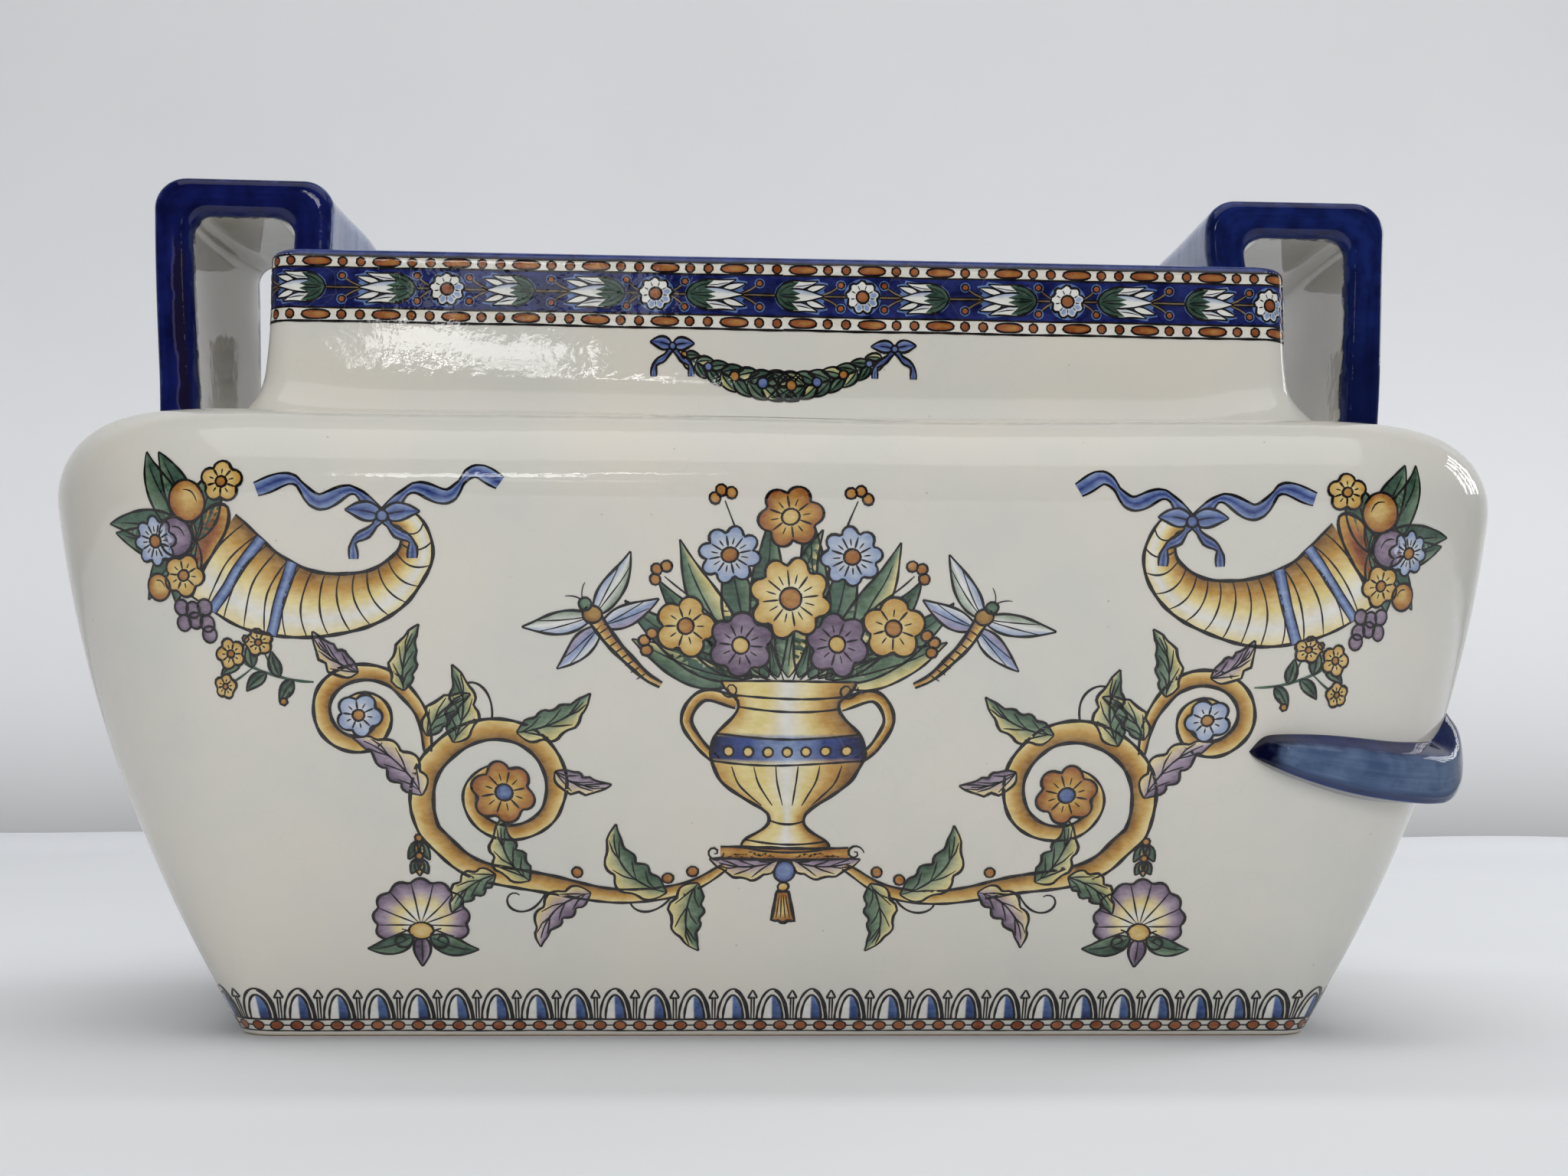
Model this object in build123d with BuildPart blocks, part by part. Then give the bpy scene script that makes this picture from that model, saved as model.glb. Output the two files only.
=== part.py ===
from build123d import *
import os
from math import asin, atan2, cos, hypot, radians, sin

os.makedirs("parts", exist_ok=True)

# Plan at the widest line
body_length = 360
body_depth = 212
plan_corner_radius = 57

# Heights, each counted from the one before it
foot_recess = 3
floor_thickness = 8
shoulder_height = 150
neck_height = 45
handle_rise = 25

# Wall section: insets are measured inwards from the widest outline
wall = 7.5
foot_inset = 47.8
wall_lean_at_shoulder = radians(8.65)
shoulder_radius = 19.5
neck_inset = 49.5
neck_flare_radius = 18
neck_wall = 11
lip_radius = 3
mouth_bevel = 2
mouth_corner_radius = 6.5
foot_bevel = 1.2
rebate_inset = 55

# Strap handles
strap_width = 64
strap_thickness = 10
strap_edge_bevel = 1.8
outer_leg_foot_inset = 20
outer_leg_top_inset = 16.5
loop_outer_round = 8
loop_inner_round = 5
seat_overlap = 4

# Strap end folded round a lower corner: heights above and below its tip, runs from the corner's arc
tail_drop = 79.5
tail_run = 14
tail_rise = 3
tail_fall = 12
fold_rise = 10
fold_stand_out = 7.5
fold_return = 27
tail_bevel = 2

floor_top = foot_recess + floor_thickness
rim_height = shoulder_height + neck_height
handle_height = rim_height + handle_rise
tail_tip_height = shoulder_height - tail_drop
tail_top = tail_tip_height + tail_rise
tail_bottom = tail_tip_height - tail_fall
fold_top = tail_tip_height + fold_rise

half_length = body_length / 2
half_depth = body_depth / 2
widest_height = shoulder_height - shoulder_radius
corner_x = half_length - plan_corner_radius
corner_y = half_depth - plan_corner_radius
neck_half_length = half_length - neck_inset
neck_half_depth = half_depth - neck_inset

# The wall arc leaves the shoulder arc without a break and ends on the foot line,
# so its radius is its chord over twice the sine of half its turn
join_inset = shoulder_radius * (1 - cos(wall_lean_at_shoulder))
join_height = widest_height - shoulder_radius * sin(wall_lean_at_shoulder)
chord_lean = atan2(foot_inset - join_inset, join_height)
wall_arc_radius = hypot(foot_inset - join_inset, join_height) / (2 * sin(chord_lean - wall_lean_at_shoulder))
arc_centre_inset = join_inset + wall_arc_radius * cos(wall_lean_at_shoulder)
arc_centre_height = join_height + wall_arc_radius * sin(wall_lean_at_shoulder)


# Point of the wall arc, a given depth inside the outer face, at a height.
def wall_point(depth_into_wall, height):
    radius = wall_arc_radius - depth_into_wall
    lean = asin((arc_centre_height - height) / radius)
    return (arc_centre_inset - radius * cos(lean), height)


# Point of the shoulder arc, an angle above the widest line.
def shoulder_point(depth_into_wall, angle):
    radius = shoulder_radius - depth_into_wall
    return (shoulder_radius - radius * cos(angle), widest_height + radius * sin(angle))


# Rounded rectangle through the widest line, from the middle of the front.
def plan_path():
    with BuildLine() as outline:
        run = Line((0, -half_depth), (corner_x, -half_depth))
        for length in (2 * corner_y, 2 * corner_x, 2 * corner_y, corner_x):
            bend = JernArc(run @ 1, run % 1, plan_corner_radius, 90)
            run = PolarLine(bend @ 1, length, direction=bend % 1)
    return outline.line


def wall_arc(depth_into_wall, low, high):
    middle = (low + high) / 2
    ThreePointArc(
        wall_point(depth_into_wall, low),
        wall_point(depth_into_wall, middle),
        wall_point(depth_into_wall, high),
    )


def shoulder_arc(depth_into_wall, start, end):
    ThreePointArc(
        shoulder_point(depth_into_wall, start),
        shoulder_point(depth_into_wall, (start + end) / 2),
        shoulder_point(depth_into_wall, end),
    )


# The section stands across the front of the plan path: first axis inwards, second axis up
section_plane = Plane(origin=(0, -half_depth, 0), x_dir=(0, 1, 0), z_dir=(1, 0, 0))
quarter_turn = radians(90)

# Tapering walls with a rebate at the foot for the floor, straight-sided inside
with BuildPart() as lower_body:
    with BuildSketch(section_plane) as lower_section:
        with BuildLine():
            wall_arc(0, 0, join_height)
            Polyline(
                (join_inset, join_height),
                (join_inset + wall, join_height),
                wall_point(wall, (floor_top + join_height) / 2),
                wall_point(wall, floor_top),
                (rebate_inset, floor_top),
                (rebate_inset, 0),
                wall_point(0, 0),
            )
        make_face()
        chamfer(lower_section.vertices().group_by(Axis.Y)[0].sort_by(Axis.X)[0], foot_bevel)
    sweep(path=plan_path())

# Shoulder, flared neck and rim
with BuildPart() as upper_body:
    with BuildSketch(section_plane):
        with BuildLine():
            shoulder_arc(0, -wall_lean_at_shoulder, quarter_turn)
            Line(shoulder_point(0, quarter_turn), (neck_inset - neck_flare_radius, shoulder_height))
            flare = JernArc(
                (neck_inset - neck_flare_radius, shoulder_height), (1, 0), neck_flare_radius, 90
            )
            upright = Line(flare @ 1, (neck_inset, rim_height - lip_radius))
            lip = JernArc(upright @ 1, upright % 1, lip_radius, -90)
            Polyline(
                lip @ 1,
                (rebate_inset, rim_height),
                (rebate_inset, shoulder_height - wall),
                shoulder_point(wall, quarter_turn),
                shoulder_point(wall, quarter_turn / 2),
                shoulder_point(wall, 0),
                (join_inset + wall, join_height),
                (join_inset, join_height),
            )
        make_face()
    sweep(path=plan_path())
    with BuildSketch(Plane.XY.offset(shoulder_height - wall)):
        RectangleRounded(
            2 * (half_length - rebate_inset) + lip_radius,
            2 * (half_depth - rebate_inset) + lip_radius,
            plan_corner_radius - rebate_inset + lip_radius / 2,
        )
        RectangleRounded(
            2 * (neck_half_length - neck_wall),
            2 * (neck_half_depth - neck_wall),
            mouth_corner_radius,
            mode=Mode.SUBTRACT,
        )
    extrude(amount=rim_height - shoulder_height + wall)
    chamfer(upper_body.faces().sort_by(Axis.Z)[-1].inner_wires()[0].edges(), mouth_bevel)

# Floor set into the rebate of the walls, its underside clear of the table
with BuildPart() as base_slab:
    with BuildSketch(Plane.XY.offset(foot_recess)):
        RectangleRounded(
            2 * (half_length - rebate_inset),
            2 * (half_depth - rebate_inset),
            plan_corner_radius - rebate_inset,
        )
    extrude(amount=floor_top - foot_recess)


# Side view of a strap handle, from the shoulder over to the rim.
def strap_loop(side):
    foot_x = half_length - outer_leg_foot_inset
    top_x = half_length - outer_leg_top_inset
    inner_x = neck_half_length - neck_wall
    low_outer = shoulder_height - seat_overlap
    low_inner = rim_height - seat_overlap
    opening_top = handle_height - strap_thickness
    with BuildSketch(Plane.XZ) as loop:
        with BuildLine():
            Polyline(
                (side * foot_x, low_outer),
                (side * top_x, handle_height),
                (side * inner_x, handle_height),
                (side * inner_x, low_inner),
                (side * (inner_x + strap_thickness), low_inner),
                (side * (inner_x + strap_thickness), opening_top),
                (side * (top_x - strap_thickness), opening_top),
                (side * (foot_x - strap_thickness), low_outer),
                close=True,
            )
        make_face()
        corners = loop.vertices().group_by(Axis.Y)
        fillet(corners[-1], loop_outer_round)
        inner_corners = loop.vertices().filter_by(lambda v: abs(v.Y - opening_top) < 0.01)
        fillet(inner_corners, loop_inner_round)
    return loop.sketch


# True for an edge on the outside of a loop
def on_loop_outside(edge):
    middle = edge @ 0.5
    above_opening = middle.Z > handle_height - strap_thickness + 1
    beside_opening = abs(middle.X) > half_length - outer_leg_foot_inset - 1
    return above_opening or beside_opening or abs(middle.X) < neck_half_length - neck_wall + 1


with BuildPart() as right_handle:
    extrude(strap_loop(1), amount=strap_width / 2, both=True)
    rims = right_handle.faces().filter_by(Axis.Y).edges()
    chamfer(rims.filter_by(on_loop_outside), strap_edge_bevel)
    add(upper_body.part, mode=Mode.SUBTRACT)

with BuildPart() as left_handle:
    extrude(strap_loop(-1), amount=strap_width / 2, both=True)
    rims = left_handle.faces().filter_by(Axis.Y).edges()
    chamfer(rims.filter_by(on_loop_outside), strap_edge_bevel)
    add(upper_body.part, mode=Mode.SUBTRACT)

# Solid form of the walls alone, which the strap ends are fitted to
with BuildPart() as wall_form:
    with BuildSketch(section_plane):
        with BuildLine():
            wall_arc(0, 0, join_height)
            Polyline(
                wall_point(0, join_height),
                (rebate_inset, join_height),
                (rebate_inset, 0),
                wall_point(0, 0),
            )
        make_face()
    sweep(path=plan_path())
    with BuildSketch():
        Rectangle(2 * (half_length - rebate_inset) + lip_radius, 2 * (half_depth - rebate_inset) + lip_radius)
    extrude(amount=join_height)

# Outer face of the strap end: upright, standing out from the wall at the height of the tip
fold_inset = wall_point(0, tail_tip_height)[0] - fold_stand_out
fold_radius = plan_corner_radius - fold_inset
fold_front_y = fold_inset - half_depth
fold_side_x = half_length - fold_inset
fold_back_y = fold_return - corner_y
tail_tip_x = corner_x - tail_run
tip_y = wall_point(0, tail_tip_height)[0] - half_depth


# True for an edge round the outer face of the strap end, but not for the upright joins within that face
def on_outer_face(edge):
    middle = edge @ 0.5
    from_corner = Vector(middle.X - corner_x, middle.Y + corner_y, 0).length
    stands_out = middle.Y < tip_y + 1 or from_corner > fold_radius - 3
    upright = abs((edge % 0.5).Z) > 0.99
    return stands_out and not upright and middle.Y < fold_back_y - 1


# Strap end: a pointed tail on the front that thickens into a fold round the corner
with BuildPart() as right_strap_end:
    with BuildSketch(Plane.XY.offset(tail_bottom)):
        with BuildLine():
            TangentArc((corner_x, fold_front_y), (tail_tip_x, tip_y), tangent=(-1, 0))
            corner = JernArc((corner_x, fold_front_y), (1, 0), fold_radius, 90)
            Polyline(
                corner @ 1,
                (fold_side_x, fold_back_y),
                (corner_x, fold_back_y),
                (tail_tip_x, -corner_y),
                (tail_tip_x, tip_y),
            )
        make_face()
    extrude(amount=fold_top - tail_bottom)
    with BuildSketch(Plane.XZ):
        with BuildLine():
            under = ThreePointArc(
                (tail_tip_x, tail_tip_height),
                (corner_x + 0.05 * fold_radius, tail_tip_height - 0.58 * tail_fall),
                (corner_x + 0.58 * fold_radius, tail_bottom),
            )
            Polyline(
                under @ 1,
                (half_length, tail_bottom),
                (half_length, fold_top),
                (corner_x + 0.92 * fold_radius, fold_top),
            )
            rise = Line(
                (corner_x + 0.92 * fold_radius, fold_top),
                (corner_x + 0.77 * fold_radius, tail_top),
            )
            top = Line(rise @ 1, (tail_tip_x + 2 * tail_rise, tail_top))
            TangentArc(top @ 1, under @ 0, tangent=top % 1)
        make_face()
    extrude(amount=half_depth, mode=Mode.INTERSECT)
    chamfer(right_strap_end.edges().filter_by(on_outer_face), tail_bevel)
    add(wall_form.part, mode=Mode.SUBTRACT)

with BuildPart() as left_strap_end:
    add(right_strap_end.part, rotation=(0, 0, 180))

for name, piece in (
    ("base_slab", base_slab),
    ("lower_body", lower_body),
    ("upper_body", upper_body),
    ("left_handle", left_handle),
    ("right_handle", right_handle),
    ("left_strap_end", left_strap_end),
    ("right_strap_end", right_strap_end),
):
    piece.part.label = name
    export_step(piece.part, f"parts/{name}.step")
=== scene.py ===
import math
import bpy
import numpy as np
from mathutils import Matrix, Quaternion, Vector


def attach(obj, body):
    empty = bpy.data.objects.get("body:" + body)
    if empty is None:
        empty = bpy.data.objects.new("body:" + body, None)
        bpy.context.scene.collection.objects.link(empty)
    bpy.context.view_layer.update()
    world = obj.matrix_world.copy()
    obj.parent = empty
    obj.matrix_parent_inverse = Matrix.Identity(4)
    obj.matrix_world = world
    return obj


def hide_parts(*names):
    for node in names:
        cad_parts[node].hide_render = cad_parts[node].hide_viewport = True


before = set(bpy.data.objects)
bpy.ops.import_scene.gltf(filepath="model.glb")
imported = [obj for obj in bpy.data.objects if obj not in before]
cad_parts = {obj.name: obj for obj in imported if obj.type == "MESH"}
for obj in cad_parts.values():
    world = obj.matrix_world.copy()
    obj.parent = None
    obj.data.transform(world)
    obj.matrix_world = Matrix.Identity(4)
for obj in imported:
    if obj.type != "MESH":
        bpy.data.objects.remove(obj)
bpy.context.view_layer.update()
mm = 0.001  # every size below is in millimetres, meshes are in metres
rng = np.random.default_rng(41)


def srgb(*channels):
    # screen colour 0-255 to the linear values that shaders and attributes take
    c = np.array(channels, float) / 255
    return np.where(c <= 0.04045, c / 12.92, ((c + 0.055) / 1.055) ** 2.4)


def smooth(low, high, x):
    # 0 below low, 1 above high, with a level start and end
    k = np.clip((x - low) / (high - low), 0, 1)
    return k * k * (3 - 2 * k)


def buildMesh(name, points, quads, tris=None, normals=None, caps=()):
    # points n x 3 in mm; quads and tris index them; caps are closing polygons with many corners
    tris = np.zeros((0, 3), int) if tris is None else tris
    loops = np.concatenate([quads.ravel(), tris.ravel()] + [np.asarray(c) for c in caps])
    corners = [np.full(len(quads), 4), np.full(len(tris), 3), [len(c) for c in caps]]
    sizes = np.concatenate(corners).astype(int)
    starts = np.concatenate([[0], np.cumsum(sizes)[:-1]])
    mesh = bpy.data.meshes.new(name)
    mesh.vertices.add(len(points))
    mesh.vertices.foreach_set("co", (points * mm).astype(np.float32).ravel())
    mesh.loops.add(len(loops))
    mesh.loops.foreach_set("vertex_index", loops.astype(np.int32))
    mesh.polygons.add(len(sizes))
    mesh.polygons.foreach_set("loop_start", starts.astype(np.int32))
    mesh.update(calc_edges=True)
    mesh.validate()
    mesh.shade_smooth()
    if normals is not None:
        mesh.normals_split_custom_set_from_vertices(normals.astype(np.float32))
    piece = bpy.data.objects.new(name, mesh)
    bpy.context.scene.collection.objects.link(piece)
    return piece


def gridQuads(rows, cols, closed=False, first=0):
    # four corners of every cell of a grid, with the last column joined to the first when closed
    index = first + np.arange(rows * cols).reshape(rows, cols)
    if closed:
        index = np.concatenate([index, index[:, :1]], axis=1)
    return np.stack([index[:-1, :-1], index[:-1, 1:], index[1:, 1:], index[1:, :-1]], -1).reshape(-1, 4)


def closedTube(name, points, crease, flipped=False):
    # grid of points closed round, its first and last row capped, sharp where it turns by more than the crease
    rows, cols = points.shape[:2]
    quads = gridQuads(rows, cols, closed=True)
    caps = [np.arange(cols)[::-1], (rows - 1) * cols + np.arange(cols)]
    if flipped:
        quads, caps = quads[:, ::-1], [c[::-1] for c in caps]
    piece = buildMesh(name, points.reshape(-1, 3), quads, caps=caps)
    piece.data.set_sharp_from_angle(angle=math.radians(crease))
    return piece


def pointValues(piece, name, values):
    # one number or one triple per vertex, for the materials to read
    values = np.asarray(values, np.float32)
    kind, field = ("FLOAT", "value") if values.ndim == 1 else ("FLOAT_VECTOR", "vector")
    piece.data.attributes.new(name, kind, "POINT").data.foreach_set(field, values.ravel())


def arcPoints(centre, radius, start, end, count):
    # points of a circle from one angle to another
    angle = np.linspace(start, end, count)
    return np.stack([centre[0] + radius * np.cos(angle), centre[1] + radius * np.sin(angle)], -1)


def linePoints(start, end, count):
    # evenly spaced points of a straight line
    return np.linspace(start, end, count)


def chainLines(*parts):
    # parts end to end, each without the first point that it shares with the one before
    return np.concatenate([parts[0]] + [p[1:] for p in parts[1:]])


def lengthAlong(path):
    # running length at every point of a path
    return np.concatenate([[0], np.cumsum(np.linalg.norm(np.diff(path, axis=0), axis=1))])


# the pot is one section carried round a rounded-rectangle plan; lengths in mm, angles in degrees
pot = {
    "halfLength": 180, "halfDepth": 106, "cornerRadius": 57, "leastRadius": 6.5,
    "wallRadius": 333.0, "wallCentre": (329.4, 177.65), "joinHeight": 127.567, "wall": 7.5,
    "shoulderRadius": 19.5, "shoulderHeight": 150, "flareRadius": 14, "neckLean": 8, "uprightFrom": 181,
    "neckInset": 49.5, "rimHeight": 195, "lipRadius": 3, "neckWall": 11, "mouthBevel": 2,
    "floorTop": 11, "footRecess": 3, "rebateInset": 55, "footBevel": 1.2, "innerRound": 3,
    "unevenness": 0.2, "sag": 0.9, "cornerLift": 1.9, "sagFrom": (95, 150), "sagTo": (154, 184),
    "endFlare": (4.2, 1.8), "neckSlope": (0.72, 0.0058, 0.45),
    "outerSteps": (40, 22, 7, 14, 14, 8, 8, 4), "planSteps": (42, 24, 18), "crease": 50,
}
cornerX = pot["halfLength"] - pot["cornerRadius"]
cornerY = pot["halfDepth"] - pot["cornerRadius"]


def outerSection():
    # wall arc, shoulder arc, flat shoulder, hollow flare, neck that eases upright as a square of the height,
    # and lip, all as inset and height
    wc, wr = pot["wallCentre"], pot["wallRadius"]
    lean = [math.asin((wc[1] - z) / wr) for z in (pot["footBevel"], pot["joinHeight"])]
    sr, sh, fr, ni = pot["shoulderRadius"], pot["shoulderHeight"], pot["flareRadius"], pot["neckInset"]
    rim, lip, steps = pot["rimHeight"], pot["lipRadius"], pot["outerSteps"]
    tilt, upright = math.radians(pot["neckLean"]), pot["uprightFrom"]
    easeLow = sh + fr * (1 - math.sin(tilt))
    easeZ = np.linspace(easeLow, upright, steps[4])
    reach = math.tan(tilt) * (upright - easeLow) / 2
    ease = np.stack([ni - reach * ((upright - easeZ) / (upright - easeLow)) ** 2, easeZ], -1)
    flareIn = ni - reach - fr * math.cos(tilt)
    return chainLines(
        arcPoints(wc, wr, math.pi + lean[0], math.pi + lean[1], steps[0]),
        arcPoints((sr, sh - sr), sr, math.pi + lean[1], math.pi / 2, steps[1]),
        linePoints((sr, sh), (flareIn, sh), steps[2]),
        arcPoints((flareIn, sh + fr), fr, -math.pi / 2, -tilt, steps[3]),
        ease,
        linePoints((ni, upright), (ni, rim - lip), steps[5]),
        arcPoints((ni + lip, rim - lip), lip, math.pi, math.pi / 2, steps[6]),
        linePoints((ni + lip, rim), (ni + pot["neckWall"] - pot["mouthBevel"], rim), steps[7]),
    )


def innerSection():
    # from the mouth down inside: bevel, inner neck, under the shoulder, inner wall and floor edge
    wc, wr, w = pot["wallCentre"], pot["wallRadius"] - pot["wall"], pot["wall"]
    sr, sh, rim = pot["shoulderRadius"], pot["shoulderHeight"], pot["rimHeight"]
    mouth, r = pot["neckInset"] + pot["neckWall"], pot["innerRound"]
    low = math.asin((wc[1] - pot["floorTop"] - 5) / wr)
    high = math.asin((wc[1] - pot["joinHeight"]) / wr)
    wallIn = arcPoints(wc, wr, math.pi + high, math.pi + low, 24)
    floorRound = wallIn[-1] + np.array([[0.9, -1.9], [2.3, -3.6], [4.4, -4.7], [6.6, -5.0]])
    return chainLines(
        linePoints((mouth - pot["mouthBevel"], rim), (mouth, rim - pot["mouthBevel"]), 4),
        linePoints((mouth, rim - pot["mouthBevel"]), (mouth, sh - w + r), 10),
        arcPoints((mouth - r, sh - w + r), r, 0, -math.pi / 2, 5),
        linePoints((mouth - r, sh - w), (sr, sh - w), 8),
        arcPoints((sr, sh - sr), sr - w, math.pi / 2, math.pi + high, 12),
        wallIn,
        np.concatenate([wallIn[-1:], floorRound]),
    )


def underSection():
    # from the middle of the underside out to the foot ring and its outer bevel
    foot = outerSection()[0]
    inner, up = pot["rebateInset"], pot["footRecess"]
    return np.array([
        (inner + 6, up), (inner + 0.8, up), (inner, up - 0.6), (inner, 0.6), (inner - 0.6, 0),
        (foot[0] + 1.6, 0), (foot[0] + 0.5, 0.35), tuple(foot),
    ])


def planFrame(s, refInset):
    # where a distance along the plan lies among the running sums of its straight and curved runs: corner
    # number, share of the run and heading angle
    arc = (pot["cornerRadius"] - refInset) * math.pi / 2
    runs = np.array([2 * cornerX, arc, 2 * cornerY, arc] * 2)
    knots = np.concatenate([[0], np.cumsum(runs)])
    s = np.mod(np.asarray(s, float) + cornerX, knots[-1])
    k = np.clip(np.searchsorted(knots, s, side="right") - 1, 0, 7)
    share = (s - knots[k]) / runs[k]
    turn = np.where(k % 2 == 1, share, 0.0)
    return k // 2, np.where(k % 2 == 1, 1.0, share), (k // 2 + turn) * math.pi / 2


def planLength(refInset):
    # length once round: the straight runs and one full circle
    return 4 * (cornerX + cornerY) + 2 * math.pi * (pot["cornerRadius"] - refInset)


def unevenWall(x, y, z):
    # slow swelling of a hand-pressed wall, always inwards, in mm: a fixed part and products of sines
    slow = np.sin(x / 43 + 0.7) * np.cos(z / 37 + y / 61)
    slow = slow + 0.6 * np.sin(x / 19 - z / 29 + 1.1) * np.cos(y / 27)
    quick = 0.25 * np.sin(x / 7.3 + z / 9.1) * np.sin(z / 6.7 - y / 8.9)
    return pot["unevenness"] * (2.3 + 0.5 * slow + 0.25 * quick)


def unevenShoulder(x, y, z):
    # the long fronts sag a little between the corners, which stand up by a cube of the length
    weight = smooth(*pot["sagFrom"], z) * (1 - smooth(*pot["sagTo"], z))
    corner = (np.abs(x) / pot["halfLength"]) ** 3 * smooth(20, 85, np.abs(y))
    return weight * (pot["cornerLift"] * corner - pot["sag"] + 0.25 * np.sin(x / 23 + y / 31))


def onPlan(s, inset, refInset):
    # point of the plan moved inwards by the inset: straight runs stay parallel, corners keep their centres
    side, share, heading = planFrame(s, refInset)
    radius = np.maximum(pot["cornerRadius"] - inset, pot["leastRadius"])
    cx = pot["halfLength"] - inset - radius
    cy = pot["halfDepth"] - inset - radius
    signX, signY = np.array([1, 1, -1, -1])[side], np.array([-1, 1, 1, -1])[side]
    backX, backY = np.array([-1, 1, 1, -1])[side], np.array([-1, -1, 1, 1])[side]
    x = cx * (backX + (signX - backX) * share) + np.sin(heading) * radius
    y = cy * (backY + (signY - backY) * share) - np.cos(heading) * radius
    return x, y


def endFlare(x, z, inset):
    # how much further the foot of the neck flares at the two ends, in mm: a product of smooth steps, less
    # at the left
    reach = np.where(x > 0, pot["endFlare"][0], pot["endFlare"][1])
    atFoot = smooth(138, 148, z) * (1 - smooth(152, 165, z)) * smooth(24, 34, inset)
    return reach * smooth(100, 126, np.abs(x)) * atFoot


def unevenNeck(x, z):
    # the neck stands a little higher towards the left: a straight slope along its length, less at the lip
    slope = pot["neckSlope"]
    return (slope[0] - slope[1] * x) * smooth(158, 176, z) * (1 - slope[2] * smooth(180, 194, z))


def bodyPoint(s, inset, z, refInset=0.0, outside=1.0):
    # plan point at an inset and a height, with the hand-made unevenness of the outside
    x, y = onPlan(s, inset, refInset)
    inward = unevenWall(x, y, z) * outside * smooth(0, 14, z) - endFlare(x, z, inset) * outside
    x, y = onPlan(s, inset + inward, refInset)
    raised = z + unevenShoulder(x, y, z) * outside + unevenNeck(x, z)
    return np.stack(np.broadcast_arrays(x, y, raised), -1)


outer = outerSection()
outerLength = lengthAlong(outer)
wallRows = sum(pot["outerSteps"][:2])  # points of the section up to the flat shoulder


def sectionAt(t):
    # inset and height at a running length up the outside of the pot
    return np.interp(t, outerLength, outer[:, 0]), np.interp(t, outerLength, outer[:, 1])


def paintPoint(s, t, lift, refInset):
    # point of the outside skin raised along its normal, the cross product of two short steps, and that normal
    step = 0.4

    def skin(a, b):
        # point at a length round the plan and a length up the section
        inset, z = sectionAt(b)
        return bodyPoint(a, inset, z, refInset)
    here = skin(s, t)
    along = skin(s + step, t) - skin(s - step, t)
    upward = skin(s, t + step) - skin(s, t - step)
    normal = np.cross(along, upward)
    normal /= np.linalg.norm(normal, axis=-1, keepdims=True)
    return here + normal * np.asarray(lift)[..., None], normal


def heightLength(z):
    # running length up the outside at a height, below the flat shoulder or up the neck
    return float(np.interp(z, outer[:, 1] + np.arange(len(outer)) * 1e-9, outerLength))


def makePot():
    # the whole section, underside to floor, by the plan: one grid closed round, with a cap at each end
    under, inner = underSection(), innerSection()
    rows = np.concatenate([under[:-1], outer, inner[1:]])
    isOutside = np.concatenate([np.zeros(len(under) - 1), np.ones(len(outer)), np.zeros(len(inner) - 1)])
    isClay = np.concatenate([np.ones(len(under) - 2), [0.6], np.zeros(len(outer) + len(inner) - 1)])
    arc = pot["cornerRadius"] * math.pi / 2
    front, corner, end = pot["planSteps"]
    runs = [(2 * cornerX, front), (arc, corner), (2 * cornerY, end), (arc, corner)] * 2
    knots = np.concatenate([[0], np.cumsum([r[0] for r in runs])])
    s = np.concatenate([knots[i] + np.arange(n) * length / n for i, (length, n) in enumerate(runs)]) - cornerX
    points = bodyPoint(s[None, :], rows[:, :1], rows[:, 1:], 0.0, isOutside[:, None])
    piece = closedTube("pot_body", points, pot["crease"])
    pointValues(piece, "clay", np.repeat(isClay, len(s)))
    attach(piece, "root")
    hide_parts("lower_body", "upper_body", "base_slab")
    return piece


handle = {
    "width": 64, "thickness": 10, "edgeRound": 2.6, "crease": 60,
    "outerLine": ((160, 146), (163.5, 220), (119.5, 220), (119.5, 191)), "outerRound": 8,
    "innerLine": ((150, 146), (153.5, 210), (129.5, 210), (129.5, 191)), "innerRound": 5,
    "steps": (26, 14, 12, 14, 10), "unevenness": 0.35,
    "drop": {1: 1.3, -1: 0.0}, "spread": {1: 1.1, -1: 2.2}, "skew": {1: 0.0, -1: 3.2},
    "inward": {1: 4.4, -1: 0.9}, "twist": {1: 0.0, -1: 4.8}, "rootZone": (4, 22), "outZone": (124, 160),
    "backZone": (-26, 32), "topZone": (190, 208), "riseZone": (150, 205),
}


def roundedLine(corners, radius, steps):
    # three straight legs joined by two tangent arcs, with a set number of points on each
    a, b, c, d = np.array(corners, float)
    parts, start = [], a
    for middle, nextPoint, legSteps, arcSteps in ((b, c, steps[0], steps[1]), (c, d, steps[2], steps[3])):
        inDir = (middle - start) / np.linalg.norm(middle - start)
        outDir = (nextPoint - middle) / np.linalg.norm(nextPoint - middle)
        turn = math.acos(np.clip(inDir @ outDir, -1, 1))
        cut = radius * math.tan(turn / 2)
        tangentIn, tangentOut = middle - inDir * cut, middle + outDir * cut
        bisector = (outDir - inDir) / np.linalg.norm(outDir - inDir)
        centre = middle + bisector * radius / math.cos(turn / 2)
        angles = np.arctan2(*(tangentIn - centre)[::-1]), np.arctan2(*(tangentOut - centre)[::-1])
        sweep = (angles[1] - angles[0] + math.pi) % (2 * math.pi) - math.pi
        arc = arcPoints(centre, radius, angles[0], angles[0] + sweep, arcSteps)
        parts += [linePoints(start, tangentIn, legSteps), arc]
        start = tangentOut
    return chainLines(*parts, linePoints(start, d, steps[4]))


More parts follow.
